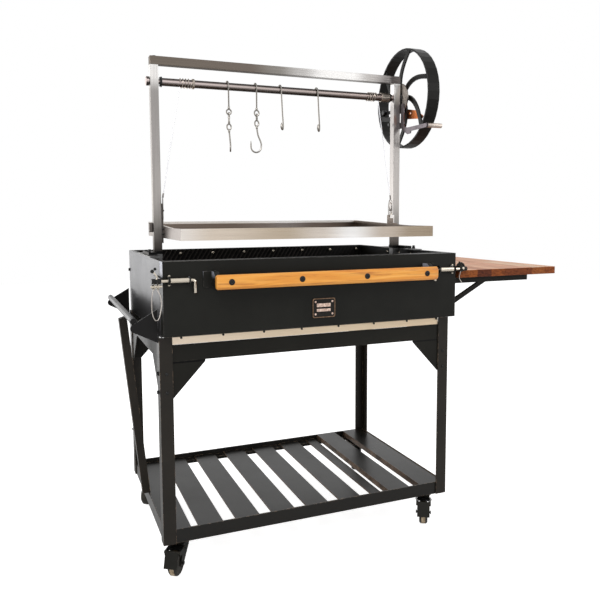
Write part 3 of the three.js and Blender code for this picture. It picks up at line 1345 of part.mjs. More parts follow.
// Folding wooden side shelf on two channel arms with braces
addPart(
  'shelf_board',
  block(BOARD_LEFT, BOARD_RIGHT, BOARD_FRONT, BOARD_REAR, BOARD_BOTTOM, BOARD_TOP), BOARD_WOOD);

function shelfArm(y) {
  const outer = block(ARM_LEFT, ARM_RIGHT, y - ARM_HALF, y + ARM_HALF, ARM_BOTTOM, ARM_TOP);
  const hollow = block(
    ARM_LEFT - OVERRUN, ARM_RIGHT + OVERRUN, y - ARM_HALF + ARM_SHEET,
    y + ARM_HALF - ARM_SHEET, ARM_BOTTOM - OVERRUN, ARM_TOP - ARM_SHEET);
  const pin = barY(y - ARM_HALF, y + ARM_HALF, HINGE_X, HINGE_Z, PIN_RADIUS, SMALL_SIDES);
  return outer.subtract(hollow).add(pin);
}

function shelfBrace(y) {
  const dx = BRACE_END_X - BRACE_X;
  const dz = BRACE_END_Z - BRACE_Z;
  const length = Math.hypot(dx, dz);
  const outer = block(
    -LUG_RADIUS, length + LUG_RADIUS, -BRACE_HALF_WIDTH, BRACE_HALF_WIDTH,
    -BRACE_HALF_HEIGHT, BRACE_HALF_HEIGHT);
  const hollow = block(
    -LUG_RADIUS - OVERRUN, length + LUG_RADIUS + OVERRUN, BRACE_SHEET - BRACE_HALF_WIDTH,
    BRACE_HALF_WIDTH - BRACE_SHEET, -BRACE_HALF_HEIGHT + BRACE_SHEET,
    BRACE_HALF_HEIGHT + OVERRUN);
  const notch = block(
    -LUG_RADIUS - OVERRUN, BRACE_NOTCH, BRACE_SHEET - BRACE_HALF_WIDTH, BRACE_HALF_WIDTH - BRACE_SHEET,
    -BRACE_HALF_HEIGHT - OVERRUN, BRACE_SHEET);
  const pins = [0, length].map((x) => bracePin(x));
  const tilt = THREE.MathUtils.radToDeg(Math.atan2(dz, dx));
  const channel = outer.subtract(hollow).subtract(notch);
  return joined([channel, ...pins]).rotate([0, -tilt, 0]).translate([BRACE_X, y, BRACE_Z]);
}

function bracePin(x) {
  return barY(-BRACE_HALF_WIDTH, BRACE_HALF_WIDTH, x, 0, PIN_RADIUS, SMALL_SIDES);
}

ARM_CENTRES.forEach((y, i) => {
  const side = i === 0 ? 'front' : 'rear';
  addPart(`shelf_arm_${side}`, shelfArm(y), BLACK_PAINT);
  addPart(`shelf_brace_${side}`, shelfBrace(y), BLACK_PAINT);
});

// Hooks hanging on the shaft
function loopPoints(x) {
  const points = [];
  const steps = SMALL_SIDES;
  for (let i = 0; i <= steps; i += 1) {
    const angle = THREE.MathUtils.degToRad(HOOK_WRAP_DEG * (1 - i / steps));
    points.push(new THREE.Vector3(
      x, SHAFT_Y - HOOK_LOOP * Math.cos(angle), SHAFT_Z + HOOK_LOOP * Math.sin(angle)));
  }
  return points;
}

function plainHook(x) {
  const points = loopPoints(x);
  points.push(new THREE.Vector3(x, SHAFT_Y, PLAIN_HOOK_LOW + HOOK_LOOP * 2));
  points.push(new THREE.Vector3(x, SHAFT_Y, PLAIN_HOOK_LOW));
  const steps = SMALL_SIDES / 2;
  for (let i = 1; i <= steps; i += 1) {
    const angle = (Math.PI * i) / steps;
    points.push(new THREE.Vector3(
      x, SHAFT_Y - PLAIN_HOOK_RADIUS * (1 - Math.cos(angle)),
      PLAIN_HOOK_LOW - PLAIN_HOOK_RADIUS * Math.sin(angle)));
  }
  points.push(new THREE.Vector3(
    x, SHAFT_Y - 2 * PLAIN_HOOK_RADIUS, PLAIN_HOOK_LOW + HOOK_TIP_RISE));
  return wire(points, HOOK_WIRE, HOOK_STEPS, HOOK_SIDES);
}

function eyeRing(x, z, loop, across) {
  const ring = new THREE.TorusGeometry(loop, HOOK_WIRE, HOOK_SIDES, EYE_STEPS);
  ring.rotateX(Math.PI / 2);
  if (!across) {
    ring.rotateZ(Math.PI / 2);
  }
  ring.translate(x, SHAFT_Y, z);
  return toSolid(ring);
}

function upperHook(x) {
  const points = loopPoints(x);
  points.push(new THREE.Vector3(x, SHAFT_Y, SHAFT_Z - HOOK_LOOP * 3));
  points.push(new THREE.Vector3(x, SHAFT_Y, EYE_CENTRE_Z + EYE_LOOP - WELD));
  const stem = wire(points, HOOK_WIRE, STEM_STEPS, HOOK_SIDES);
  return stem.add(eyeRing(x, EYE_CENTRE_Z, EYE_LOOP, true));
}

function lowerHook(x, across) {
  const points = [];
  points.push(new THREE.Vector3(x, SHAFT_Y, LOWER_EYE_Z - LOWER_EYE_LOOP + WELD));
  points.push(new THREE.Vector3(x, SHAFT_Y, LOWER_LOW_Z));
  const steps = SMALL_SIDES / 2;
  for (let i = 1; i <= steps; i += 1) {
    const angle = (Math.PI * i) / steps;
    const side = LOWER_HOOK_RADIUS * (1 - Math.cos(angle));
    const z = LOWER_LOW_Z - LOWER_HOOK_RADIUS * Math.sin(angle);
    points.push(new THREE.Vector3(
      x - (across ? side : 0), SHAFT_Y - (across ? 0 : side), z));
  }
  const end = points[points.length - 1].clone();
  end.z += HOOK_TIP_RISE;
  points.push(end);
  const stem = wire(points, HOOK_WIRE, STEM_STEPS, HOOK_SIDES);
  return stem.add(eyeRing(x, LOWER_EYE_Z, LOWER_EYE_LOOP, false));
}

addPart('hook_1_upper', upperHook(HOOK_X[0]), STAINLESS);
addPart('hook_1_lower', lowerHook(HOOK_X[0], false), STAINLESS);
addPart('hook_2_upper', upperHook(HOOK_X[1]), STAINLESS);
addPart('hook_2_lower', lowerHook(HOOK_X[1], true), STAINLESS);
addPart('hook_3', plainHook(HOOK_X[2]), STAINLESS);
addPart('hook_4', plainHook(HOOK_X[3]), STAINLESS);

export default group;
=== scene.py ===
import math

import bmesh
import bpy
from mathutils import Matrix, Vector


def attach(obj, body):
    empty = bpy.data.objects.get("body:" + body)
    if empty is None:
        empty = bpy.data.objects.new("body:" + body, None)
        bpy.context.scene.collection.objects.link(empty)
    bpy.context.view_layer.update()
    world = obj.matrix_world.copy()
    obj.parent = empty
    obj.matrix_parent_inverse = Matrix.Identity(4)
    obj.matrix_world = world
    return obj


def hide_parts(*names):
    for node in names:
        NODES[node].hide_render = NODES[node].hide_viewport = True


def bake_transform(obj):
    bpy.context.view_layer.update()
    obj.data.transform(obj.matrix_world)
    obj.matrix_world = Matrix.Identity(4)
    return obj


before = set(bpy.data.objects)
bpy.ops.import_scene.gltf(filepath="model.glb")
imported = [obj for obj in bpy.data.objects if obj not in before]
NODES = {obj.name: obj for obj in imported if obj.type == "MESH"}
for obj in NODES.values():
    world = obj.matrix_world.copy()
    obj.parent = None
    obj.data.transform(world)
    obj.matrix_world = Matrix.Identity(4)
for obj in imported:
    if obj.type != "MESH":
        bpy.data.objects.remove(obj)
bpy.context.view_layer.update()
MM = 0.001
# From the part's own places to the frame's, in mm
SHIFT = Vector((-657.5, -303.5, 104.0))
LEFT, RIGHT, FRONT, BACK, UP = (-1, 0, 0), (1, 0, 0), (0, -1, 0), (0, 1, 0), (0, 0, 1)

# Places that several pieces share, in mm
DOOR_WIDTH = 965.0
BOX_TOP = 838.0
SHAFT_Y, SHAFT_Z = 324, 1388
LATCH_Y, LATCH_Z = -13, 786


def at(x, y, z):
    """A place measured from the door's left edge, its front face and the legs' bottom, in mm."""
    return (Vector((x, y, z)) + SHIFT) * MM


def on_shaft(x):
    return at(x, SHAFT_Y, SHAFT_Z)


def add_object(name, data):
    obj = bpy.data.objects.new(name, data)
    bpy.context.scene.collection.objects.link(obj)
    return obj


# Camera, fitted to the photograph's straight edges
CAMERA_PLACE = (-320.2, -1796.3, 964.9)
YAW = math.radians(21.9354)
PITCH = math.radians(5.1409)
ROLL = math.radians(-0.2687)
FOCAL_LENGTH, SENSOR_WIDTH = 39.036, 36.0
LENS_SHIFT = (0.003224, -0.044062)


def add_camera():
    data = bpy.data.cameras.new("camera")
    data.lens = FOCAL_LENGTH
    data.sensor_width = SENSOR_WIDTH
    data.shift_x, data.shift_y = LENS_SHIFT
    data.clip_start, data.clip_end = 0.05, 60.0
    cam = add_object("camera", data)
    cosp, sinp = math.cos(PITCH), math.sin(PITCH)
    ahead = Vector((math.sin(YAW) * cosp, math.cos(YAW) * cosp, -sinp))
    right = Vector((math.cos(YAW), -math.sin(YAW), 0.0))
    up = right.cross(ahead)
    tilted_right = right * math.cos(ROLL) + up * math.sin(ROLL)
    tilted_up = up * math.cos(ROLL) - right * math.sin(ROLL)
    turn = Matrix((tilted_right, tilted_up, -ahead)).transposed().to_4x4()
    cam.matrix_world = Matrix.Translation(at(*CAMERA_PLACE)) @ turn
    bpy.context.scene.camera = cam


add_camera()


# Materials
def fill(node, numbers):
    """Sets plain values on a node's named sockets."""
    for key, number in numbers.items():
        node.inputs[key].default_value = number
    return node


class Nodes:
    """Small helper that adds and links the nodes of one tree."""

    def __init__(self, tree):
        self.tree = tree

    def node(self, kind, **values):
        made = self.tree.nodes.new(kind)
        for key, value in values.items():
            setattr(made, key, value)
        return made

    def link(self, source, target):
        self.tree.links.new(source, target)

    def maths(self, how, one, two=0.0):
        made = self.node("ShaderNodeMath", operation=how)
        for socket, number in zip(made.inputs, (one, two)):
            if isinstance(number, (float, int)):
                socket.default_value = number
            else:
                self.link(number, socket)
        return made.outputs["Value"]

    def product(self, first, *others):
        for other in others:
            first = self.maths("MULTIPLY", first, other)
        return first


class Shader(Nodes):
    """The nodes of one material, around its principled shader."""

    def __init__(self, name, roughness, metallic, specular):
        self.mat = bpy.data.materials.new(name)
        self.mat.use_nodes = True
        super().__init__(self.mat.node_tree)
        looks = {"Roughness": roughness, "Metallic": metallic, "Specular IOR Level": specular}
        self.bsdf = fill(self.tree.nodes["Principled BSDF"], looks)

    def place(self):
        return self.node("ShaderNodeTexCoord").outputs["Object"]

    def part(self, vector, which):
        parts = self.node("ShaderNodeSeparateXYZ")
        self.link(vector, parts.inputs[0])
        return parts.outputs[which]

    def noise(self, scale, detail, rough=0.5, stretch=(1.0, 1.0, 1.0), warp=0.0):
        mapping = fill(self.node("ShaderNodeMapping"), {"Scale": stretch})
        self.link(self.place(), mapping.inputs["Vector"])
        made = self.node("ShaderNodeTexNoise")
        fill(made, {"Scale": scale, "Detail": detail, "Roughness": rough, "Distortion": warp})
        self.link(mapping.outputs["Vector"], made.inputs["Vector"])
        return made.outputs["Fac"]

    def ramp(self, source, stops, smooth="LINEAR"):
        made = self.node("ShaderNodeValToRGB")
        band = made.color_ramp
        band.interpolation = smooth
        while len(band.elements) < len(stops):
            band.elements.new(0.5)
        for element, (place, colour) in zip(band.elements, stops):
            element.position = place
            element.color = (*colour, 1.0)
        self.link(source, made.inputs["Fac"])
        return made.outputs["Color"]

    def value(self, source, low, high, out_low=0.0, out_high=1.0):
        """Maps the range low to high onto another one, 0 to 1 if no other is given."""
        made = self.node("ShaderNodeMapRange")
        fill(made, {"From Min": low, "From Max": high, "To Min": out_low, "To Max": out_high})
        self.link(source, made.inputs["Value"])
        return made.outputs["Result"]

    def mix(self, factor, one, two, how="MIX"):
        made = self.node("ShaderNodeMix", data_type="RGBA", blend_type=how)
        if isinstance(factor, float):
            made.inputs["Factor"].default_value = factor
        else:
            self.link(factor, made.inputs["Factor"])
        for socket, colour in ((made.inputs[6], one), (made.inputs[7], two)):
            if isinstance(colour, tuple):
                socket.default_value = (*colour, 1.0)
            else:
                self.link(colour, socket)
        return made.outputs[2]

    def axis(self, which):
        return self.part(self.place(), which)

    def normal(self, which):
        return self.part(self.node("ShaderNodeNewGeometry").outputs["Normal"], which)

    def along(self, which, low, high):
        """0 to 1 along an axis, between two of the part's own places in mm."""
        shift = SHIFT[which]
        return self.value(self.axis(which), (low + shift) * MM, (high + shift) * MM)

    def colour(self, source):
        self.link(source, self.bsdf.inputs["Base Color"])

    def overlay(self, mask, colour, how="MIX"):
        """Lays a colour over the base colour that the material has so far."""
        base = self.bsdf.inputs["Base Color"].links[0].from_socket
        self.colour(self.mix(mask, base, colour, how))

    def rough(self, source):
        self.link(source, self.bsdf.inputs["Roughness"])

    def bump(self, height, distance, strength):
        made = fill(self.node("ShaderNodeBump"), {"Distance": distance, "Strength": strength})
        self.link(height, made.inputs["Height"])
        if self.bsdf.inputs["Normal"].is_linked:
            before = self.bsdf.inputs["Normal"].links[0].from_socket
            self.link(before, made.inputs["Normal"])
        self.link(made.outputs["Normal"], self.bsdf.inputs["Normal"])


def srgb(r, g, b):
    """A colour written as in a picture, 0 to 255, as linear light."""
    return tuple(
        (c / 255 / 12.92) if c < 10.3 else ((c / 255 + 0.055) / 1.055) ** 2.4
        for c in (r, g, b)
    )


def bands(*rows):
    """Ramp stops, each a place from 0 to 1 and a colour written as in a picture."""
    return [(place, srgb(*colour)) for place, *colour in rows]


def levels(*rows):
    """Ramp stops, each a place from 0 to 1 and a plain level of light."""
    return [(place, (level,) * 3) for place, level in rows]


def edge_wear(s, radius):
    """A mask that is 1 on sharp outer edges and 0 on flat faces."""
    rounded = fill(s.node("ShaderNodeBevel", samples=4), {"Radius": radius})
    shape = s.node("ShaderNodeNewGeometry")
    dot = s.node("ShaderNodeVectorMath", operation="DOT_PRODUCT")
    s.link(rounded.outputs["Normal"], dot.inputs[0])
    s.link(shape.outputs["Normal"], dot.inputs[1])
    return s.value(dot.outputs["Value"], 0.985, 0.90)


def painted_steel(name, base, rubbed, roughness, specular, worn=0.0012):
    """Powder coated steel: fine orange peel, broad cloudiness and rubbed edges."""
    s = Shader(name, roughness, 0.0, specular)
    cloud = s.noise(5.0, 5.0, 0.6)
    dark, light = tuple(c * 0.8 for c in base), tuple(c * 1.25 for c in base)
    tone = s.ramp(cloud, [(0.3, dark), (0.7, light)])
    wear = edge_wear(s, worn)
    spots = s.value(s.noise(90.0, 4.0), 0.45, 0.62)
    s.colour(s.mix(s.product(wear, spots), tone, rubbed))
    s.rough(s.value(cloud, 0.3, 0.7, roughness - 0.06, roughness + 0.06))
    s.bump(s.noise(620.0, 2.0), 0.00012, 0.5)
    return s


def brushed(name, base, roughness, axis, streak, cloud, shade=None):
    """Bare steel brushed along one axis, with long streaks and broad soft patches, and where given
    a tone along an axis that on most steels is painted light and shade.
    """
    s = Shader(name, roughness, 1.0, 0.5)
    fill(s.bsdf, {"Specular Tint": (0.62, 0.61, 0.60, 1.0)})
    narrow, wide = [520.0] * 3, [22.0] * 3
    narrow[axis], wide[axis] = 3.0, 2.2
    fine = s.noise(1.0, 3.0, 0.6, narrow)
    patches = s.noise(1.0, 3.0, 0.55, wide, 0.4)
    dark = tuple(c * (1.0 - streak) for c in base)
    light = tuple(min(c * (1.0 + streak), 1.0) for c in base)
    colour = s.ramp(fine, [(0.35, dark), (0.65, light)])
    veil = s.ramp(patches, levels((0.3, 1.0 - cloud * 2), (0.7, 1.0)))
    colour = s.mix(1.0, colour, veil, "MULTIPLY")
    if shade is not None:
        which, low, high, run = shade
        tint = s.ramp(s.along(which, low, high), run, "EASE")
        colour = s.mix(1.0, colour, tint, "MULTIPLY")
    s.colour(colour)
    s.rough(s.value(fine, 0.3, 0.7, roughness - 0.07, roughness + 0.1))
    s.bump(fine, 0.00006, 0.6)
    return s


BLACK = painted_steel("paint_black", srgb(26, 25, 21), srgb(104, 96, 86), 0.42, 0.15)
LEGS = painted_steel("paint_legs", srgb(34, 30, 25), srgb(160, 136, 114), 0.38, 0.24, 0.0018)


def slat_paint():
    """Slat paint, with a painted brown sheen on the faces that look to the left."""
    s = painted_steel("paint_slats", srgb(16, 14, 10), srgb(158, 136, 116), 0.32, 0.34, 0.0018)
    flank = s.value(s.normal(0), -0.85, -0.97, 0.0, 0.85)
    patch = s.value(s.noise(26.0, 4.0, 0.6), 0.36, 0.6, 0.25, 1.0)
    s.overlay(s.product(flank, s.along(0, 60.0, 62.0), patch), srgb(118, 98, 82))
    return s


SLAT = slat_paint()
WHEEL = painted_steel("paint_flywheel", srgb(15, 14, 12), srgb(96, 96, 98), 0.38, 0.15)
FORGED = painted_steel("forged_black", srgb(13, 13, 13), srgb(70, 70, 70), 0.3, 0.35)

# The open joint between the aprons and their gussets, and the door's lower edge
JOINT_LOW, JOINT_HIGH, JOINT_EDGE = 538.5, 544.5, 1.5
DOOR_BOTTOM = 627.0


def apron_paint():
    """Apron paint, with the dark open joint above each corner gusset."""
    s = painted_steel("paint_apron", srgb(26, 25, 21), srgb(104, 96, 86), 0.42, 0.15)
    low = s.along(2, JOINT_LOW, JOINT_LOW + JOINT_EDGE)
    high = s.value(s.along(2, JOINT_HIGH - JOINT_EDGE, JOINT_HIGH), 1.0, 0.0)
    side = s.maths("ABSOLUTE", s.maths("SUBTRACT", s.along(0, 0.0, DOOR_WIDTH), 0.5))
    near = s.value(side, 0.36, 0.37)
    s.overlay(s.product(low, high, near), srgb(2, 2, 2))
    return s


def side_paint():
    """Gloss paint of the left wall and the tray, with a painted reflection on their side faces:
    pale at the top, darker to the front and below.
    """
    s = painted_steel("paint_side", srgb(30, 29, 29), srgb(150, 148, 150), 0.34, 0.15)
    rise = s.ramp(s.along(2, DOOR_BOTTOM, BOX_TOP), levels((0.02, 0.1), (0.22, 0.5), (0.6, 1.0)))
    depth = s.ramp(s.along(1, 20.0, 220.0), levels((0.0, 0.45), (1.0, 1.0)))
    dip = s.noise(1.0, 2.0, 0.5, (3.0, 3.4, 7.0), 0.6)
    soft = s.ramp(dip, levels((0.36, 0.45), (0.56, 1.0)))
    flank = s.value(s.maths("ABSOLUTE", s.normal(0)), 0.5, 0.9, 0.0, 0.86)
    sheen = s.mix(1.0, s.mix(1.0, rise, depth, "MULTIPLY"), soft, "MULTIPLY")
    s.overlay(s.product(flank, sheen), srgb(90, 89, 93))
    return s


def door_paint():
    """Door paint, with a painted highlight at the top of its left flank; its pale rubbed edges are
    partly wear and partly a painted highlight along the door's top edge.
    """
    s = painted_steel("paint_door", srgb(25, 25, 22), srgb(128, 124, 120), 0.40, 0.16)
    flank = s.value(s.normal(0), -0.6, -0.9)
    high = s.ramp(s.along(2, 785.0, BOX_TOP), levels((0.05, 0.0), (0.45, 1.0)))
    s.overlay(s.product(flank, high), srgb(168, 170, 182))
    return s


# Pitch of the liner's pressed ribs in metres, and how far they lean
RIB_PITCH, RIB_SLANT = 0.017, 0.62


def liner_paint():
    """Dark liner with slanted pressed ribs."""
    s = painted_steel("paint_liner", srgb(14, 13, 12), srgb(60, 58, 56), 0.5, 0.12)
    slant = s.maths("SUBTRACT", s.axis(0), s.product(s.axis(2), RIB_SLANT))
    wave = s.maths("SINE", s.product(slant, math.tau / RIB_PITCH))
    smooth_patch = s.ramp(s.along(0, 640.0, 880.0), levels((0.35, 1.0), (0.6, 0.25)))
    rib = s.product(s.value(wave, 0.25, 0.9), smooth_patch)
    s.overlay(rib, srgb(52, 48, 45))
    s.bump(rib, 0.002, 0.7)
    return s


APRON = apron_paint()
SIDE_BLACK = side_paint()
DOOR = door_paint()
LINER = liner_paint()


# Brushed steels: base tone, roughness, axis of the brushing, streaks, clouds, and for some how
# the tone runs along an axis between two of the part's places in mm. On the post, beam, shaft,
# grate and tray that run is painted light and shade, with painted highlights; the post's run
# also holds its pale pad and black clamp at the foot, and the lever's run is its dark arm and pale
# grip
STEELS = {
    "post": ((0.92,) * 3, 0.34, 2, 0.08, 0.12, (2, BOX_TOP, 1450.0, bands(
        (0.0, 150, 150, 150), (0.006, 140, 140, 140), (0.0066, 34, 34, 34),
        (0.0205, 34, 34, 34), (0.022, 70, 66, 63), (0.05, 100, 94, 90),
        (0.13, 150, 146, 142), (0.3, 190, 185, 181), (0.6, 178, 173, 170),
        (0.84, 176, 172, 169), (0.93, 255, 252, 249),
    ))),
    "beam": ((0.96,) * 3, 0.3, 0, 0.08, 0.06, (0, 31.0, 934.0, bands(
        (0.0, 116, 107, 98), (0.36, 120, 110, 102), (0.47, 146, 141, 135),
        (0.57, 196, 193, 190), (0.66, 244, 242, 240), (0.78, 240, 238, 236),
        (0.86, 186, 182, 179), (0.945, 178, 172, 170), (0.965, 96, 90, 88), (1.0, 92, 86, 84),
    ))),
    "coil": (srgb(178, 168, 158), 0.24, 0, 0.06, 0.06),
    "shaft": ((0.9,) * 3, 0.22, 0, 0.08, 0.06, (0, 60.0, 900.0, bands(
        (0.0, 232, 216, 212), (0.45, 214, 200, 194), (1.0, 184, 168, 162),
    ))),
    "grate": ((0.97,) * 3, 0.3, 0, 0.05, 0.06, (0, 0.0, 902.0, bands(
        (0.0, 176, 168, 160), (0.06, 240, 233, 226), (0.18, 222, 208, 192),
        (0.42, 200, 184, 164), (0.55, 222, 211, 200), (0.67, 250, 248, 246),
        (0.8, 200, 187, 174), (0.92, 166, 151, 132), (1.0, 160, 145, 126),
    ))),
    "tray": ((0.97,) * 3, 0.42, 0, 0.07, 0.04, (0, 32.0, 936.0, bands(
        (0.0, 244, 226, 204), (0.45, 236, 216, 188), (1.0, 232, 210, 180),
    ))),
    "bright": (srgb(216, 206, 190), 0.22, 0, 0.05, 0.05),
    "lever": ((0.95,) * 3, 0.3, 2, 0.10, 0.18, (0, 933.0, 993.0, bands(
        (0.0, 112, 106, 110), (0.10, 118, 112, 114), (0.14, 200, 188, 178), (1.0, 214, 202, 192),
    ))),
    "disc": (srgb(142, 136, 130), 0.38, 1, 0.12, 0.2),
    "guide": (srgb(120, 114, 110), 0.32, 2, 0.10, 0.15),
    "wire": (srgb(150, 146, 140), 0.24, 2, 0.06, 0.06),
}
STEEL = {name: brushed("steel_" + name, *looks) for name, looks in STEELS.items()}


def shaft_painted_reflection(s):
    """Painted reflection on a polished round bar: dark bands above and below a bright middle line,
    by which way each face looks.
    """
    up = s.ramp(
        s.value(s.normal(2), -1.0, 1.0),
        bands(
            (0.1, 110, 110, 110), (0.34, 170, 170, 170), (0.46, 255, 255, 255),
            (0.60, 255, 255, 255), (0.70, 112, 112, 112),
        ),
    )
    s.overlay(1.0, up, "MULTIPLY")


def blacken_stop_arm(s):
    """Black on the arm and knob behind the right post, above the fire box."""
    s.overlay(s.product(s.along(1, 340.0, 343.0), s.along(2, 1000.0, 1010.0)), srgb(24, 24, 25))


# Below this height the rear rim's inner face gets a brown painted shade; above it the folded lip
# gets a painted highlight
GRATE_LIP = 934.0


def shade_grate(s):
    """Painted shade on the inner rear face, a painted highlight on the folded lip above it, and
    painted shade on the left flanks.
    """
    def inner_face(strength):
        looking = s.value(s.normal(1), -0.8, -0.95)
        return s.product(looking, s.value(s.along(1, 60.0, 62.0), 0.0, 1.0, 0.0, strength))

    below = s.value(s.along(2, GRATE_LIP - 1.0, GRATE_LIP), 1.0, 0.0)
    s.overlay(s.product(inner_face(0.85), below), srgb(104, 92, 86))
    above = s.along(2, GRATE_LIP, GRATE_LIP + 1.0)
    s.overlay(s.product(inner_face(0.8), above), srgb(232, 230, 228))
    s.overlay(s.value(s.normal(0), -0.6, -0.9, 0.0, 0.75), srgb(112, 106, 104))


shaft_painted_reflection(STEEL["shaft"])
blacken_stop_arm(STEEL["post"])
shade_grate(STEEL["grate"])


def handle_wood():
    s = Shader("wood_handle", 0.42, 0.0, 0.4)
    grain = s.noise(1.0, 6.0, 0.62, (7.0, 190.0, 150.0), 0.5)
    broad = s.noise(1.0, 3.0, 0.5, (3.0, 38.0, 34.0), 1.1)
    colour = s.ramp(broad, bands((0.25, 218, 128, 36), (0.5, 236, 158, 58), (0.75, 250, 186, 92)))
    lines = s.ramp(grain, bands((0.32, 158, 86, 30), (0.5, 255, 255, 255)))
    s.colour(s.mix(0.55, colour, lines, "MULTIPLY"))
    s.bump(grain, 0.00025, 0.35)
    fill(s.bsdf, {"Coat Weight": 0.5, "Coat Roughness": 0.25})
    return s


# Width and length of one stave of the board, in metres
STAVE_WIDTH, STAVE_LENGTH = 0.058, 0.31


def board_wood():
    """Butcher block: staves side by side, each with its own tone and grain, with a paler painted
    highlight on the faces that look up.
    """
    s = Shader("wood_board", 0.5, 0.0, 0.16)
    stave = s.maths("FLOOR", s.product(s.axis(0), 1.0 / STAVE_WIDTH))
    cut = s.maths("FLOOR", s.product(s.axis(1), 1.0 / STAVE_LENGTH))
    keys = s.node("ShaderNodeCombineXYZ")
    s.link(stave, keys.inputs[0])
    s.link(cut, keys.inputs[1])
    pick = s.node("ShaderNodeTexWhiteNoise", noise_dimensions="3D")
    s.link(keys.outputs[0], pick.inputs["Vector"])
    tone = s.ramp(
        pick.outputs["Value"],
        bands((0.0, 92, 44, 26), (0.3, 122, 62, 30), (0.6, 146, 78, 34), (1.0, 158, 92, 44)),
    )
    grain = s.noise(1.0, 5.0, 0.6, (120.0, 8.0, 120.0), 0.6)
    fibre = s.ramp(grain, bands((0.32, 150, 128, 112), (0.6, 255, 255, 255)))
    end = s.noise(60.0, 5.0, 0.6, (1.0, 1.0, 2.6), 1.5)
    pores = s.ramp(end, bands((0.35, 140, 116, 98), (0.62, 255, 255, 255)))
    front = s.value(s.maths("ABSOLUTE", s.normal(1)), 0.4, 0.6)
    colour = s.mix(0.8, tone, s.mix(front, fibre, pores), "MULTIPLY")
    # Painted highlight: the faces that look up get paler tones, as the light falls from above
    top = s.value(s.normal(2), 0.5, 0.9)
    light = s.ramp(
        pick.outputs["Value"],
        bands(
            (0.0, 218, 152, 118), (0.35, 244, 184, 148), (0.7, 255, 208, 172), (1.0, 255, 222, 190)
        ),
    )
    pale = s.mix(0.86, colour, s.mix(0.6, light, fibre, "MULTIPLY"))
    s.colour(s.mix(top, colour, pale))
    s.bump(grain, 0.0003, 0.3)
    return s


HANDLE = handle_wood()
BOARD = board_wood()


# Half width of the pale band of painted reflection on a braked wheel's tread, and the soft edge
# around it, in metres
BAND_HALF, BAND_SOFT = 0.0055, 0.0075

# Casters: pivots in the part's own mm, and the turn they all share
CASTER_TURN = math.radians(-33.0)
CASTER_PIVOTS = {
    "front_left": (51.0, 94.0), "front_right": (914.0, 94.0),
    "rear_left": (51.0, 614.0), "rear_right": (914.0, 614.0),
}


def caster_at(corner, across, trail, z):
    """A place on a caster: along its axle, ahead of its pivot, and height."""
    x, y = CASTER_PIVOTS[corner]
    dx, dy, _ = caster_way(across, trail)
    return at(x + dx, y + dy, z)


def caster_way(across, trail):
    """A direction on a caster: along its axle and ahead of its pivot."""
    cos, sin = math.cos(CASTER_TURN), math.sin(CASTER_TURN)
    return (across * cos - trail * sin, across * sin + trail * cos, 0.0)


def tread_painted_reflection(s):
    """1 on the middle of the two braked wheels' treads, where a pale band of painted reflection
    lies.
    """
    across = caster_way(1.0, 0.0)
    run = s.maths("ADD", s.product(s.axis(0), across[0]), s.product(s.axis(1), across[1]))
    nearest = None
    for corner in ("front_left", "front_right"):
        middle = caster_at(corner, 0.0, 0.0, 0.0)
        place = middle[0] * across[0] + middle[1] * across[1]
        off = s.maths("ABSOLUTE", s.maths("SUBTRACT", run, place))
        nearest = off if nearest is None else s.maths("MINIMUM", nearest, off)
    return s.value(nearest, BAND_SOFT, BAND_HALF)


def rubber():
    s = Shader("rubber_tread", 0.6, 0.0, 0.3)
    dark = s.ramp(s.noise(70.0, 4.0), bands((0.3, 30, 28, 25), (0.7, 56, 52, 46)))
    pale = s.ramp(s.noise(90.0, 4.0), bands((0.3, 120, 100, 74), (0.7, 196, 178, 150)))
    # The pale tones are a painted reflection in a band on the two front wheels' treads
    s.colour(s.mix(tread_painted_reflection(s), dark, pale))
    s.bump(s.noise(300.0, 3.0), 0.0002, 0.5)
    return s


def plate_bronze(name, dark, light):
    s = Shader(name, 0.42, 1.0, 0.5)
    s.colour(s.ramp(s.noise(140.0, 4.0), [(0.3, dark), (0.7, light)]))
    s.bump(s.noise(500.0, 2.0), 0.0001, 0.5)
    return s


def plate_field():
    s = Shader("plate_field", 0.62, 0.0, 0.2)
    s.colour(s.ramp(s.noise(260.0, 3.0), bands((0.3, 18, 17, 16), (0.7, 34, 31, 28))))
    s.bump(s.noise(700.0, 2.0), 0.0002, 0.7)
    return s


def copper():
    s = Shader("copper_plate", 0.4, 1.0, 0.5)
    patches = s.noise(30.0, 4.0, 0.6)
    s.colour(s.ramp(patches, bands((0.3, 160, 84, 40), (0.7, 216, 136, 84))))
    s.rough(s.value(patches, 0.3, 0.7, 0.5, 0.3))
    return s


def rope_steel(name, base, depth):
    s = Shader(name, 0.35, 1.0, 0.5)
    strands = s.noise(1.0, 2.0, 0.5, (1400.0, 1400.0, 300.0))
    s.colour(s.ramp(strands, [(0.35, tuple(c * depth for c in base)), (0.65, base)]))
    s.bump(strands, 0.0002, 0.25)
    return s


RUBBER = rubber()
BRONZE = plate_bronze("plate_bronze", srgb(92, 70, 54), srgb(150, 124, 102))
PALE_BRONZE = plate_bronze("plate_raised", srgb(176, 142, 126), srgb(244, 222, 208))
FIELD = plate_field()
COPPER = copper()
CABLE = rope_steel("cable_steel", srgb(226, 226, 230), 0.94)
LANYARD = rope_steel("lanyard_steel", srgb(216, 208, 200), 0.6)


def named(*starts):
    return [n for n in NODES if n.startswith(starts)]


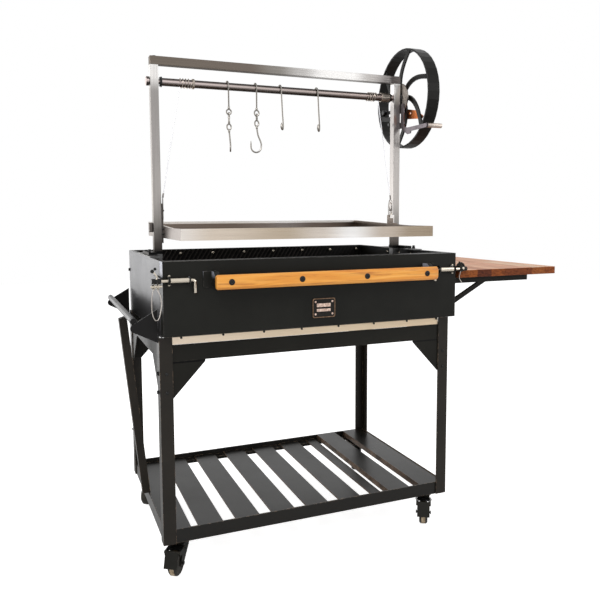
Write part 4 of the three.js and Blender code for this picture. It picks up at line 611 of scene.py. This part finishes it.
# Each material with the CAD nodes that wear it
DRESS = [
    (BLACK, named("caster_fork", "brake_pedal", "shelf_arm", "shelf_brace")),
    (BLACK, ["wall_rear", "firebox_floor", "wall_right"]),
    (APRON, named("apron_")),
    (LEGS, named("leg_") + ["tray_strut"]),
    (DOOR, ["front_door"]),
    (LINER, ["liner_rear"]),
    (SIDE_BLACK, ["wall_left", "tray_pan", "tray_cheek_front", "tray_cheek_rear"]),
    (SLAT, ["lower_shelf"]),
    (WHEEL, ["flywheel"]),
    (STEEL["post"], ["post_left", "post_right"]),
    (STEEL["beam"], ["crossbar"]),
    (STEEL["shaft"], ["shaft"]),
    (STEEL["grate"], ["grate", "grate_guide_left", "grate_guide_right"]),
    (STEEL["tray"], ["ash_tray"]),
    (STEEL["bright"], named("latch_bolt", "hook_")),
    (STEEL["coil"], ["winding_left", "winding_right"]),
    (STEEL["lever"], ["brake_lever"]),
    (STEEL["disc"], ["brake_disc"]),
    (BOARD, ["shelf_board"]),
    (RUBBER, named("caster_wheel")),
    (COPPER, ["flywheel_plate"]),
    (FIELD, ["name_plate"]),
]


def dress_nodes():
    for shader, names in DRESS:
        for name in names:
            mesh = NODES[name].data
            mesh.materials.clear()
            mesh.materials.append(shader.mat)


dress_nodes()


def add_bevel(obj, width, angle):
    bevel = obj.modifiers.new("bevel", "BEVEL")
    bevel.width = width
    bevel.segments = 2
    bevel.limit_method = "ANGLE"
    bevel.angle_limit = math.radians(angle)


def soften(names, width):
    """Rounds the sharp edges of CAD nodes a little, so that they catch light."""
    for name in names:
        weld = NODES[name].modifiers.new("weld", "WELD")
        weld.merge_threshold = 0.00001
        add_bevel(NODES[name], width, 40.0)


soften(["crossbar", "shelf_board"], 0.0012)


# Piece building
def turned(axis):
    """A rotation that takes +Z onto the axis."""
    return Vector(UP).rotation_difference(Vector(axis).normalized()).to_matrix().to_4x4()


def skin(bm, rings, closed=False):
    """Faces between neighbouring rings, where one point alone is a tip, and over open ends."""
    pairs = list(zip(rings, rings[1:]))
    if closed:
        pairs.append((rings[-1], rings[0]))
    for one, two in pairs:
        count = max(len(one), len(two))
        for k in range(count):
            n = (k + 1) % count
            if len(one) == 1:
                bm.faces.new((one[0], two[k], two[n]))
            elif len(two) == 1:
                bm.faces.new((one[k], one[n], two[0]))
            else:
                bm.faces.new((one[k], one[n], two[n], two[k]))
    if not closed:
        for end in (rings[0][::-1], rings[-1]):
            if len(end) > 1:
                bm.faces.new(end)


def lathe(bm, place, axis, profile, steps, hollow=False):
    """Turns (radius, height) points in mm about the axis, as a closed solid or as a hollow ring."""
    spin = Matrix.Translation(place) @ turned(axis)
    rings = []
    for radius, height in profile:
        ring = []
        for k in range(steps if radius > 0 else 1):
            a = math.tau * k / steps
            point = Vector((radius * MM * math.cos(a), radius * MM * math.sin(a), height * MM))
            ring.append(bm.verts.new(spin @ point))
        rings.append(ring)
    skin(bm, rings, hollow)


def hex_bolt(bm, place, axis, across, height, washer=0.0):
    """A hexagon head with a chamfered top, on a washer if one is given, standing out along axis."""
    r = across / math.sqrt(3)
    base = 0.0
    if washer:
        lathe(bm, place, axis, [(washer, 0), (washer, 1.0), (washer - 0.4, 1.4), (r, 1.4)], 24)
        base = 1.4
    lathe(bm, place, axis, [(r, base), (r, base + height * 0.75), (r * 0.82, base + height)], 6)


# A socket's width as a share of its button's
SOCKET_SHARE = 0.42


def socket_button(bm, place, axis, radius, height):
    """A domed button head with a hexagon socket, standing out along axis."""
    dome = [(radius, 0), (radius, height * 0.35)]
    for k in range(1, 5):
        a = math.pi / 2 * k / 5
        dome.append((radius * (0.62 + 0.38 * math.cos(a)), height * (0.35 + 0.65 * math.sin(a))))
    dome.append((radius * SOCKET_SHARE, height))
    dome.append((radius * SOCKET_SHARE * 0.96, height * 0.3))
    dome.append((0, height * 0.22))
    lathe(bm, place, axis, dome, 30)


def tube(bm, points, radius, sides=10, closed=False):
    """A round tube through points in metres. radius in mm, one or one for each point."""
    count = len(points)
    radii = radius if isinstance(radius, (list, tuple)) else [radius] * count
    ahead = []
    for k in range(count):
        a = points[(k - 1) % count] if closed else points[max(k - 1, 0)]
        b = points[(k + 1) % count] if closed else points[min(k + 1, count - 1)]
        ahead.append((b - a).normalized())
    side = ahead[0].orthogonal().normalized()
    rings = []
    for k in range(count):
        if k:
            side = ahead[k - 1].rotation_difference(ahead[k]).to_matrix() @ side
        up = ahead[k].cross(side).normalized()
        ring = []
        for n in range(sides):
            a = math.tau * n / sides
            reach = (side * math.cos(a) + up * math.sin(a)) * radii[k] * MM
            ring.append(bm.verts.new(points[k] + reach))
        rings.append(ring)
    skin(bm, rings, closed)


def loop_points(place, across, along, wide, tall, steps):
    """Points on an ellipse in the plane of two unit axes. Sizes in mm."""
    a, b = Vector(across), Vector(along)
    points = []
    for k in range(steps):
        t = math.tau * k / steps
        points.append(place + (a * wide * math.cos(t) + b * tall * math.sin(t)) * MM)
    return points


def prism(bm, outline, low, high, plane="xz"):
    """A closed plate: an outline in mm of the part's own places, between two depths."""
    def corner(a, b, depth):
        if plane == "xz":
            return at(a, depth, b)
        if plane == "yz":
            return at(depth, a, b)
        return at(a, b, depth)

    skin(bm, [[bm.verts.new(corner(a, b, depth)) for a, b in outline] for depth in (low, high)])


def made_mesh(name, bm):
    mesh = bpy.data.meshes.new(name)
    bm.to_mesh(mesh)
    bm.free()
    return mesh


def finish_piece(name, bm, shader, body, smooth=True, bevel=0.0, angle=35.0):
    """Makes an object of the mesh, dresses it, and lets it ride on its body."""
    bmesh.ops.recalc_face_normals(bm, faces=bm.faces)
    mesh = made_mesh(name, bm)
    obj = add_object(name, mesh)
    mesh.materials.append(shader.mat)
    if smooth:
        for face in mesh.polygons:
            face.use_smooth = True
        mesh.set_sharp_from_angle(angle=math.radians(angle))
    if bevel:
        add_bevel(obj, bevel, 30.0)
    if body:
        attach(obj, body)
    return obj


# Lanyards of the two latch pins
def spline_points(knots, count):
    """Points evenly spaced along a Catmull-Rom curve through the knots."""
    fine = []
    last = len(knots) - 1
    for k in range(last):
        p0, p1, p2, p3 = (knots[min(max(k + j, 0), last)] for j in (-1, 0, 1, 2))
        for n in range(24):
            t = n / 24
            square = (2 * p0 - 5 * p1 + 4 * p2 - p3) * t * t
            cube = (3 * p1 - p0 - 3 * p2 + p3) * t * t * t
            fine.append(0.5 * (2 * p1 + (p2 - p0) * t + square + cube))
    fine.append(knots[-1])
    lengths = [0.0]
    for a, b in zip(fine, fine[1:]):
        lengths.append(lengths[-1] + (b - a).length)
    out = []
    k = 0
    for n in range(count):
        want = lengths[-1] * n / (count - 1)
        while k < len(fine) - 2 and lengths[k + 1] < want:
            k += 1
        span = max(lengths[k + 1] - lengths[k], 1e-9)
        out.append(fine[k].lerp(fine[k + 1], (want - lengths[k]) / span))
    return out


# Places along each lanyard in mm, laid over the photograph
LANYARD_RADIUS = 1.3
LEFT_LANYARD = [
    (-24, -4, 770), (-29, -5, 752), (-31.5, -5, 730), (-31, -4, 700), (-26, -4, 682),
    (-19, -4, 675), (-12, -4, 683), (-7.5, -4, 700), (-4.5, -4, 722), (-7, -5, 742),
    (-13, -6, 756), (-17, -6, 769),
]
RIGHT_LANYARD = [
    (981, -6, 778), (980, -5, 770), (978, -4, 760), (980, -4, 750), (986, -4, 742), (989, -4, 738),
]


def lanyard(name, knots):
    points = spline_points([at(*k) for k in knots], 26)
    bm = bmesh.new()
    tube(bm, points, LANYARD_RADIUS)
    obj = finish_piece(name, bm, LANYARD, "cart")


lanyard("lanyard_left", LEFT_LANYARD)
lanyard("lanyard_right", RIGHT_LANYARD)


# Lift cables between the shaft and the grate
CABLE_RADIUS = 1.5
CABLES = {
    "left": (at(123, 309, 1372), at(61, 305, 1021)),
    "right": (at(841, 309, 1372), at(893, 305, 1021)),
}


def lift_cable(side):
    top, foot = CABLES[side]
    bm = bmesh.new()
    tube(bm, [top, foot], CABLE_RADIUS)
    obj = finish_piece("lift_cable_" + side, bm, CABLE, None)
    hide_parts("cable_" + side)
    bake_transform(obj)


for side in CABLES:
    lift_cable(side)


def cable_foot(side):
    """Ferrule, thimble loop and shackle that tie a cable to its grate guide."""
    top, foot = CABLES[side]
    up = (top - foot).normalized()
    across = (0.2, 0.98, 0) if side == "left" else RIGHT
    bm = bmesh.new()
    lathe(bm, foot + up * 0.001, up, [(2.3, 0), (2.5, 1), (2.5, 13), (1.9, 14.5)], 14)
    ring = foot - Vector((0, 0, 0.020))
    tube(bm, loop_points(ring, across, UP, 6.5, 19.0, 24), 1.6, 8, closed=True)
    lathe(bm, ring - Vector((0, 0.004, 0.020)), BACK, [(3.4, 0), (3.4, 8.0)], 12)
    finish_piece("cable_foot_" + side, bm, STEEL["guide"], "lift")


for side in CABLES:
    cable_foot(side)


def left_guide():
    """The left guide: a plate beside the post, a plate behind it and a lug on its far side."""
    bm = bmesh.new()
    side = [
        (304, 905), (344, 905), (344, 958), (330, 972),
        (318, 1004), (301, 1004), (301, 960), (304, 950),
    ]
    prism(bm, side, 58.6, 62.1, "yz")
    prism(bm, [(306, 877), (322, 877), (322, 906), (306, 906)], 58.6, 61.4, "yz")
    prism(bm, [(20, 338), (60, 338), (60, 341.5), (20, 341.5)], 912, 942, "xy")
    prism(bm, [(20, 324), (29.6, 324), (29.6, 339), (20, 339)], 914, 939, "xy")
    obj = finish_piece(
        "guide_plate_left", bm, STEEL["guide"], "lift", smooth=False, bevel=0.0006
    )
    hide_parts("grate_guide_left")
    rollers = bmesh.new()
    for z in (922, 906):
        lathe(rollers, at(58.4, 309, z), LEFT, [(3.6, -1), (3.6, 1.0), (2.6, 1.4)], 20)
        lathe(rollers, at(60, 303.8, z), FRONT, [(2.6, -1), (2.6, 1.6), (1.6, 2.2)], 16)
    finish_piece("guide_rollers_left", rollers, FORGED, "lift")


left_guide()


# Hooks on the shaft: bent wire with twisted eyes
WIRE = 2.6
HOOK_BEND = 16.3
# Thickness of the last points of a wire, as shares of the rest
TAPER_SHARES = (1.0, 1.0, 0.9, 0.75, 0.5, 0.3)
FLARE_SHARES = (1.05, 1.2, 1.45, 1.6, 1.5, 1.2, 0.8, 0.3)
# Where the lower hooks turn in the upper hooks' eyes, straight below the shaft
HOOK_Y = 324.0
HOOK_PIVOT_Z = 1298.0


def arc(place, across, radius, start, end, steps):
    """Points on an arc from start to end degrees, measured from across towards +Z, in mm."""
    a = Vector(across)
    points = []
    for k in range(steps + 1):
        t = math.radians(start + (end - start) * k / steps)
        points.append(place + (a * math.cos(t) + Vector(UP) * math.sin(t)) * radius * MM)
    return points


def over_shaft(x):
    return arc(on_shaft(x), FRONT, HOOK_BEND, 200, -8, 16)


def turn_up(centre, a, radius, tip_rise):
    """The round bend at a hook's foot, and its tip."""
    tip = centre + a * radius * MM + Vector((0, 0, tip_rise * MM))
    return arc(centre, -a, radius, 0, -178, 14) + [tip]


def eye(bm, x, z, across, wide, tall, steps, share, sides=10):
    """A closed ring of wire, its thickness as a share of the hook's wire."""
    ring = loop_points(at(x, HOOK_Y, z), across, UP, wide, tall, steps)
    tube(bm, ring, WIRE * share, sides, closed=True)


def finish_hook(name, bm):
    obj = finish_piece(name + "_wire", bm, STEEL["wire"], name + "_body")
    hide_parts(name)


def upper_hook(name, x, shift, ring_z):
    """Goes over the shaft and ends in an eye; shift moves the eye sideways in mm."""
    bm = bmesh.new()
    over = over_shaft(x)
    drop = at(x + shift, HOOK_Y, ring_z + 13.5)
    tube(bm, spline_points(over + [over[-1].lerp(drop, 0.5), drop], 40), WIRE)
    eye(bm, x + shift, ring_z, RIGHT, 8.0, ring_z - HOOK_PIVOT_Z, 26, 0.95)
    knot = [(3.0, 0), (4.0, 2), (4.0, 6), (2.8, 9)]
    lathe(bm, at(x + shift, HOOK_Y, ring_z + 9), UP, knot, 12)
    finish_hook(name, bm)


def lower_hook(name, x, eye_z, low, shank_x, radius, across, tip_rise):
    """Hangs in the upper hook's eye, with a twisted second eye above its shank."""
    bm = bmesh.new()
    eye(bm, x, HOOK_PIVOT_Z, BACK, 5.8, 6.2, 18, 0.8, 8)
    twist = (HOOK_PIVOT_Z - 6.2) - (eye_z + 9.5)
    if twist > 4:
        knot = [(3.2, 0), (4.2, 2), (2.9, twist / 2), (4.0, twist - 2), (3.0, twist)]
        lathe(bm, at(x, HOOK_Y, eye_z + 9.5), UP, knot, 12)
    eye(bm, x, eye_z, RIGHT, 7.0, 9.5, 24, 0.95)
    lathe(bm, at(x, HOOK_Y, eye_z - 19), UP, [(2.8, 0), (4.0, 3), (4.0, 7), (3.0, 10)], 12)
    a = Vector(across).normalized()
    centre = at(shank_x, HOOK_Y, low + radius + WIRE) + a * radius * MM
    path = [
        at(x, HOOK_Y, eye_z - 10),
        at(x + (shank_x - x) * 0.25, HOOK_Y, low + 62),
        at(shank_x, HOOK_Y, low + radius + 16),
    ] + turn_up(centre, a, radius, tip_rise)
    tube(bm, spline_points(path, 44), [WIRE] * 38 + [WIRE * share for share in TAPER_SHARES])
    finish_hook(name, bm)


def plain_hook(name, x, shift, low, radius, across, tip_rise):
    """One bent wire: over the shaft, straight down, and up again to a flat pale tip."""
    bm = bmesh.new()
    over = over_shaft(x)
    a = Vector(across).normalized()
    foot = at(x + shift, 308, low + radius + WIRE)
    path = over + [over[-1].lerp(foot, 0.5), foot + Vector((0, 0, 0.012))]
    path += turn_up(foot + a * radius * MM, a, radius, tip_rise)
    tube(bm, spline_points(path, 60), [WIRE] * 52 + [WIRE * share for share in FLARE_SHARES])
    finish_hook(name, bm)


upper_hook("hook_1_upper", 284.0, 5.2, 1306.3)
lower_hook("hook_1_lower", 289.2, 1257.0, 1174.0, 293.2, 11.0, (-0.3, -0.95, 0), 8.0)
upper_hook("hook_2_upper", 381.0, 5.0, 1307.2)
lower_hook("hook_2_lower", 386.0, 1273.0, 1174.0, 400.8, 18.0, LEFT, 20.0)
plain_hook("hook_3", 469.0, 6.0, 1251.0, 9.0, (-0.6, -0.8, 0), 13.0)
plain_hook("hook_4", 604.0, 6.0, 1251.0, 10.0, (-0.6, -0.8, 0), 14.0)


# Handle: an octagonal wooden bar with four sunk button bolts
HANDLE_LEFT, HANDLE_RIGHT = 136.0, 854.0
HANDLE_LOW, HANDLE_HIGH = 760.0, 801.0
HANDLE_BACK, HANDLE_FACE = -48.0, -67.7
HANDLE_CUT, HANDLE_END = 7.0, 3.5
HANDLE_BOLTS = (179.0, 390.0, 601.0, 812.0)
HANDLE_BOLT_HEIGHT = 781.0


def handle():
    y0, y1, z0, z1, c = HANDLE_FACE, HANDLE_BACK, HANDLE_LOW, HANDLE_HIGH, HANDLE_CUT
    outline = [
        (y0 + c * 0.8, z0), (y1 - c * 0.8, z0), (y1, z0 + c), (y1, z1 - c),
        (y1 - c * 0.8, z1), (y0 + c * 0.8, z1), (y0, z1 - c), (y0, z0 + c),
    ]
    bm = bmesh.new()
    first, last = HANDLE_LEFT + HANDLE_END, HANDLE_RIGHT - HANDLE_END
    stations = [HANDLE_LEFT, first]
    stations += [first + (last - first) * k / 24 for k in range(1, 24)]
    stations += [last, HANDLE_RIGHT]
    mid_y, mid_z = (y0 + y1) / 2, (z0 + z1) / 2
    rings = []
    for k, x in enumerate(stations):
        shrink = 0.84 if k in (0, len(stations) - 1) else 1.0
        spots = [(mid_y + (y - mid_y) * shrink, mid_z + (z - mid_z) * shrink) for y, z in outline]
        rings.append([bm.verts.new(at(x, y, z)) for y, z in spots])
    skin(bm, rings)
    obj = finish_piece("handle_bar", bm, HANDLE, "door", bevel=0.0012, angle=25)
    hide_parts("door_handle")
    bolts = bmesh.new()
    for x in HANDLE_BOLTS:
        socket_button(bolts, at(x, HANDLE_FACE + 0.2, HANDLE_BOLT_HEIGHT), FRONT, 8.8, 2.45)
    finish_piece("handle_bolts", bolts, FORGED, "door")


handle()


# Name plate: rim, sunk field, two plain raised bars and four rivets
PLATE_LEFT, PLATE_RIGHT, PLATE_LOW, PLATE_HIGH = 449.0, 525.0, 653.0, 713.0
PLATE_CORNER = 6.0
PLATE_BACK, PLATE_BARS, PLATE_RIM = -2.3, -3.1, -3.4
# Depth and size of each ring of the rim, the size as shares of the plate's
RIM_SHARES = (
    (PLATE_BACK, 1.0, 1.0), (PLATE_RIM, 0.985, 0.982), (PLATE_RIM, 0.925, 0.905),
    (PLATE_BACK, 0.915, 0.895),
)


def plate_frame():
    x0, x1 = PLATE_LEFT + PLATE_CORNER, PLATE_RIGHT - PLATE_CORNER
    z0, z1 = PLATE_LOW + PLATE_CORNER, PLATE_HIGH - PLATE_CORNER
    corners = []
    for cx, cz, start in ((x1, z1, 0), (x0, z1, 90), (x0, z0, 180), (x1, z0, 270)):
        for k in range(6):
            a = math.radians(start + 90 * k / 5)
            corners.append((cx + PLATE_CORNER * math.cos(a), cz + PLATE_CORNER * math.sin(a)))
    cx, cz = (PLATE_LEFT + PLATE_RIGHT) / 2, (PLATE_LOW + PLATE_HIGH) / 2
    bm = bmesh.new()
    rings = []
    for y, wide, tall in RIM_SHARES:
        spots = [(cx + (x - cx) * wide, cz + (z - cz) * tall) for x, z in corners]
        rings.append([bm.verts.new(at(x, y, z)) for x, z in spots])
    skin(bm, rings, closed=True)
    finish_piece("name_plate_rim", bm, BRONZE, "door", bevel=0.0003)
    bars = bmesh.new()
    left, right = 463, 509
    for low, high in ((686, 697), (672, 680.5)):
        bar = [(left, low), (right, low), (right, high), (left, high)]
        prism(bars, bar, PLATE_BACK, PLATE_BARS)
    finish_piece("name_plate_bars", bars, PALE_BRONZE, "door", bevel=0.0003)
    rivets = bmesh.new()
    for x, z in ((459, 702), (515, 702), (459, 664), (515, 664)):
        lathe(rivets, at(x, PLATE_BACK, z), FRONT, [(3.3, 0), (3.1, 0.9), (2.1, 1.6), (0, 1.9)], 18)
    finish_piece("name_plate_rivets", rivets, PALE_BRONZE, "door")


plate_frame()


# Fasteners of the door and the latches
TRAY_RIVETS = (58.8, 183.8, 311.1, 434.8, 560.8, 687.4, 811.2, 925.0)
LINER_BOLTS, WALL_BOLTS = (187, 312, 437, 559, 684, 808, 929), (420, 330, 250)
LINER_BOLT_HEIGHT = 822
LEG_BOLT_HEIGHTS = (503, 448)
# The left leg's bolts sit a little higher than the right leg's
LEFT_LEG_RISE = 8


def door_fasteners():
    silver = bmesh.new()
    black = bmesh.new()
    sleeves = bmesh.new()
    for left in (True, False):
        def mx(x):
            return x if left else DOOR_WIDTH - x

        side = 1 if left else -1
        for z in (798.0, 774.0):
            hex_bolt(silver, at(mx(17), -6.2, z), FRONT, 6.5, 2.2)
        for z in (797.0, 768.0):
            socket_button(black, at(mx(121), -0.2, z), FRONT, 4.2, 2.0)
        cover = [(6.75, 0.0), (7.3, 0.6), (7.3, 52.6), (6.75, 53.2)]
        lathe(sleeves, at(mx(19), LATCH_Y, LATCH_Z), (side, 0, 0), cover, 28, hollow=True)
        for x, bore, thick in ((12.2, 5.9, 1.6), (74.2, 7.4, 1.0)):
            wide = 9.4 if left or x < 20 else 13.5
            ring = [(bore, 0.0), (wide, 0.0), (wide, thick), (bore, thick)]
            lathe(black, at(mx(x), LATCH_Y, LATCH_Z), (side, 0, 0), ring, 28, hollow=True)
    finish_piece("latch_bolts_small", silver, STEEL["bright"], "door")
    finish_piece("latch_sleeve_covers", sleeves, STEEL["bright"], "door")
    finish_piece("bracket_bolts", black, FORGED, "door")
    dots = bmesh.new()
    for x in TRAY_RIVETS:
        lathe(dots, at(x, 49.8, 613.6), FRONT, [(3.4, 0), (3.4, 1.6), (2.2, 2.6)], 16)
    finish_piece("tray_rivets", dots, FORGED, "ash_drawer")


door_fasteners()


def left_keeper():
    """Washers, nuts and the bent hook on the left latch pin's keeper."""
    silver = bmesh.new()
    y, z = -13.6, 771.4
    washer, nut = 24, 6
    for x, radius, thick, sides in (
        (-15.0, 9.0, 2.0, washer), (-19.0, 7.0, 5.0, nut),
        (-26.0, 8.5, 2.0, washer), (-31.5, 6.2, 5.5, nut),
    ):
        lathe(silver, at(x, y, z), RIGHT, [(radius, 0), (radius, thick)], sides)
    lathe(silver, at(-34, y, z), RIGHT, [(3.4, 0), (3.4, 30)], 14)
    knots = [
        (-26, -15, 811), (-21, -15.5, 804), (-17.2, -16, 797),
        (-18, -16, 793), (-22, -15, 789), (-25, -14, 781),
    ]
    points = spline_points([at(*k) for k in knots], 18)
    tube(silver, points, 2.0)
    finish_piece("keeper_left_hardware", silver, STEEL["bright"], "cart")
    black = bmesh.new()
    lathe(black, at(-29.6, -8, 813.6), FRONT, [(5.2, 0), (5.2, 4), (3.5, 5.5)], 18)
    lathe(black, at(-22.0, -8, 820), FRONT, [(4.2, 0), (4.2, 4), (2.5, 5.0)], 18)
    finish_piece("keeper_left_bolts", black, FORGED, "cart")


def right_keeper():
    """Black eye with a bright pin end on the right of the door."""
    black = bmesh.new()
    ring = loop_points(at(987, 3, 790), RIGHT, UP, 12.4, 12.4, 32)
    tube(black, ring, 4.4, 14, closed=True)
    lathe(black, at(987, 4, 790), FRONT, [(11, 0), (11, 3), (8, 4)], 28)
    lathe(black, at(976, -6, 805), UP, [(3.0, -3), (3.0, 3.5), (1.6, 5.0)], 14)
    finish_piece("keeper_right_eye", black, BLACK, "cart")
    silver = bmesh.new()
    lathe(silver, at(981.6, -20.3, 788), FRONT, [(4.2, 0), (4.2, 1.6), (3.0, 2.6)], 22)
    finish_piece("keeper_right_pin", silver, STEEL["bright"], "cart")


left_keeper()
right_keeper()


# Bolts of the fire box, the frame and the posts
def cart_fasteners():
    pale = bmesh.new()
    for x in LINER_BOLTS:
        socket_button(pale, at(x, 650.8, LINER_BOLT_HEIGHT), FRONT, 5.0, 2.4)
    for y in WALL_BOLTS:
        socket_button(pale, at(947.5, y, LINER_BOLT_HEIGHT), LEFT, 4.2, 2.2)
    finish_piece("liner_bolts", pale, STEEL["bright"], "cart")
    black = bmesh.new()
    for z in LEG_BOLT_HEIGHTS:
        hex_bolt(black, at(-6.2, 66, z + LEFT_LEG_RISE), LEFT, 10.0, 4.0, 7.0)
    for z in LEG_BOLT_HEIGHTS:
        for x, rise in ((14, LEFT_LEG_RISE), (951, 0)):
            socket_button(black, at(x, 45.8, z + rise), FRONT, 4.6, 2.0)
    hex_bolt(black, at(-0.2, 667, 767), LEFT, 9.0, 4.0, 6.5)
    hex_bolt(black, at(-6.2, 640, 170), LEFT, 9.0, 4.0, 6.5)
    lathe(black, at(970, 267, 839), UP, [(6, 0), (6, 5), (4.6, 11), (3.6, 13)], 18)
    finish_piece("frame_bolts", black, FORGED, "cart")


cart_fasteners()


def shelf_edge():
    """Thin turned edge of the right raised slat, lying against the right rail."""
    bm = bmesh.new()
    outline = [(943.2, 39.4), (958.4, 39.4), (958.4, 40.9), (957.6, 41.8), (943.2, 41.8)]
    prism(bm, outline, 56.0, 652.0)
    finish_piece("shelf_edge", bm, SLAT, "cart", smooth=False, bevel=0.0004)


shelf_edge()


def caster_fittings(corner, braked):
    """Raceway below the plate, axle nuts and the pedal's rivets of one caster."""
    body = "swivel_" + corner
    black = bmesh.new()
    race = [(17.0, 0.0), (17.2, 1.0), (17.2, 9.2), (16.0, 10.4)]
    lathe(black, caster_at(corner, 0.0, 0.0, -26.6), UP, race, 28)
    hood = [
        (-20.3, -52.0), (20.3, -52.0), (20.3, -25.6), (17.0, -25.6),
        (17.0, 18.0), (-17.0, 18.0), (-17.0, -25.6), (-20.3, -25.6),
    ]
    faces = [[black.verts.new(caster_at(corner, a, t, z)) for a, t in hood] for z in (-19.2, -16.2)]
    skin(black, faces)
    for side in (1.0, -1.0):
        way = caster_way(side, 0.0)
        hex_bolt(black, caster_at(corner, side * 23.4, -34.0, -66.0), way, 11.0, 2.6)
        if braked:
            rivet = [(3.4, 0), (3.4, 1.0), (2.2, 1.8)]
            lathe(black, caster_at(corner, side * 26.4, -22.0, -25.0), way, rivet, 16)
    finish_piece("caster_fittings_" + corner, black, FORGED, body)


for corner_name in CASTER_PIVOTS:
    caster_fittings(corner_name, corner_name.startswith("front"))


def post_fittings():
    """Bushes, rings, caps and nuts of the posts and the shaft, and the end of the tray's lip."""
    black = bmesh.new()
    lathe(black, at(47, 324, 1464.2), UP, [(7.5, -2), (7.5, 2.2), (6.4, 3.2)], 24)
    lathe(black, on_shaft(62), RIGHT, [(14.8, 0), (14.8, 4), (16.5, 4), (16.5, 7)], 28)
    lathe(black, at(895.8, 329, 1293), LEFT, [(5.4, 0), (5.4, 0.8)], 18)
    bush = [(16.4, 0), (17.0, 0.6), (17.0, 2.4), (16.4, 3.0)]
    lathe(black, on_shaft(892.6), RIGHT, bush, 28)
    knob = [(8.3, 0), (9.6, 1.5), (9.6, 11.5), (7.6, 13.6), (0, 14.4)]
    lathe(black, at(938, 424, 1351), LEFT, knob, 28)
    for x, y in ((25.8, 372), (8, 274), (12, 352)):
        hex_bolt(black, at(x, y, 850.4), UP, 9.0, 4.5)
    lip_end = [(9.6, 0.0), (10.3, 0.4), (10.3, 4.6), (9.6, 5.0)]
    lathe(black, at(-73.5, 74, 668), BACK, lip_end, 32, hollow=True)
    finish_piece("shaft_bushings", black, FORGED, "cart")
    turning = bmesh.new()
    nut = [(12.5, 0), (14.5, 1.2), (14.5, 9.0), (13.4, 10.2)]
    lathe(turning, on_shaft(20.2), RIGHT, nut, 6)
    cap = [(20.8, 0.0), (20.8, 1.6), (18.6, 2.8), (14.2, 3.2)]
    lathe(turning, on_shaft(938.3), LEFT, cap, 32)
    finish_piece("shaft_nuts", turning, FORGED, "drum")
    silver = bmesh.new()
    narrow = [(15.2, 0), (16.0, 0.8), (16.0, 7.2), (15.2, 8)]
    lathe(silver, on_shaft(166), RIGHT, narrow, 28)
    broad = [(15.2, 0), (16.2, 1), (16.2, 32), (15.2, 33)]
    lathe(silver, on_shaft(858), RIGHT, broad, 28)
    finish_piece("shaft_collars", silver, STEEL["coil"], "drum")


post_fittings()


# Light, floor and background: the world lights the object softly and is seen as white
OBJECT_LIGHT, SEEN_WHITE, FLOOR_GLOW = 0.5, 1.0, 0.80
WHITE = (1.0, 1.0, 1.0, 1.0)
FLOOR_RADIUS, FLOOR_SIDES = 9.0, 48
# Name, place, target and size in metres, and power in watts
LAMPS = (
    ("lamp_key", (-2.6, -3.4, 3.6), (0.0, 0.0, 0.8), (2.4, 2.4), 95.0),
    ("lamp_fill", (3.4, -2.6, 2.4), (0.0, 0.0, 0.7), (2.4, 2.4), 45.0),
    ("lamp_side", (-2.1, 2.2, 1.0), (-0.5, 0.0, 0.7), (2.0, 2.2), 34.0),
)


def add_world():
    world = bpy.data.worlds.new("studio")
    bpy.context.scene.world = world
    world.use_nodes = True
    world.node_tree.nodes.clear()
    w = Nodes(world.node_tree)
    rays = w.node("ShaderNodeLightPath").outputs
    seen = w.maths("MAXIMUM", rays["Is Camera Ray"], rays["Is Glossy Ray"])
    seen = w.maths("MAXIMUM", seen, rays["Is Transmission Ray"])
    mix = w.node("ShaderNodeMixShader")
    w.link(seen, mix.inputs[0])
    for strength, socket in zip((OBJECT_LIGHT, SEEN_WHITE), mix.inputs[1:]):
        light = w.node("ShaderNodeBackground")
        fill(light, {"Color": WHITE, "Strength": strength})
        w.link(light.outputs[0], socket)
    w.link(mix.outputs[0], w.node("ShaderNodeOutputWorld").inputs["Surface"])


def add_lamp(name, place, target, size, power):
    data = bpy.data.lights.new(name, "AREA")
    data.shape = "RECTANGLE"
    data.size, data.size_y = size
    data.energy = power
    lamp = add_object(name, data)
    lamp.location = place
    aim = Vector(target) - Vector(place)
    lamp.rotation_euler = aim.to_track_quat("-Z", "Y").to_euler()
    lamp.visible_camera = False


def add_floor():
    s = Shader("floor_pale", 0.8, 0.0, 0.1)
    s.colour(s.ramp(s.noise(3.0, 2.0), levels((0.3, 0.86), (0.7, 0.88))))
    glow = fill(s.node("ShaderNodeEmission"), {"Color": WHITE})
    path = s.node("ShaderNodeLightPath")
    mix = s.node("ShaderNodeAddShader")
    s.link(s.product(path.outputs["Is Camera Ray"], FLOOR_GLOW), glow.inputs["Strength"])
    s.link(s.bsdf.outputs[0], mix.inputs[0])
    s.link(glow.outputs[0], mix.inputs[1])
    out = next(n for n in s.tree.nodes if n.type == "OUTPUT_MATERIAL")
    s.link(mix.outputs[0], out.inputs["Surface"])
    bm = bmesh.new()
    rim = []
    for k in range(FLOOR_SIDES):
        a = math.tau * k / FLOOR_SIDES
        rim.append(bm.verts.new((FLOOR_RADIUS * math.cos(a), FLOOR_RADIUS * math.sin(a), 0.0)))
    bm.faces.new(rim)
    floor = add_object("floor", made_mesh("floor", bm))
    floor.data.materials.append(s.mat)


add_world()
add_floor()
for lamp_row in LAMPS:
    add_lamp(*lamp_row)

bpy.context.scene.view_settings.view_transform = "Standard"
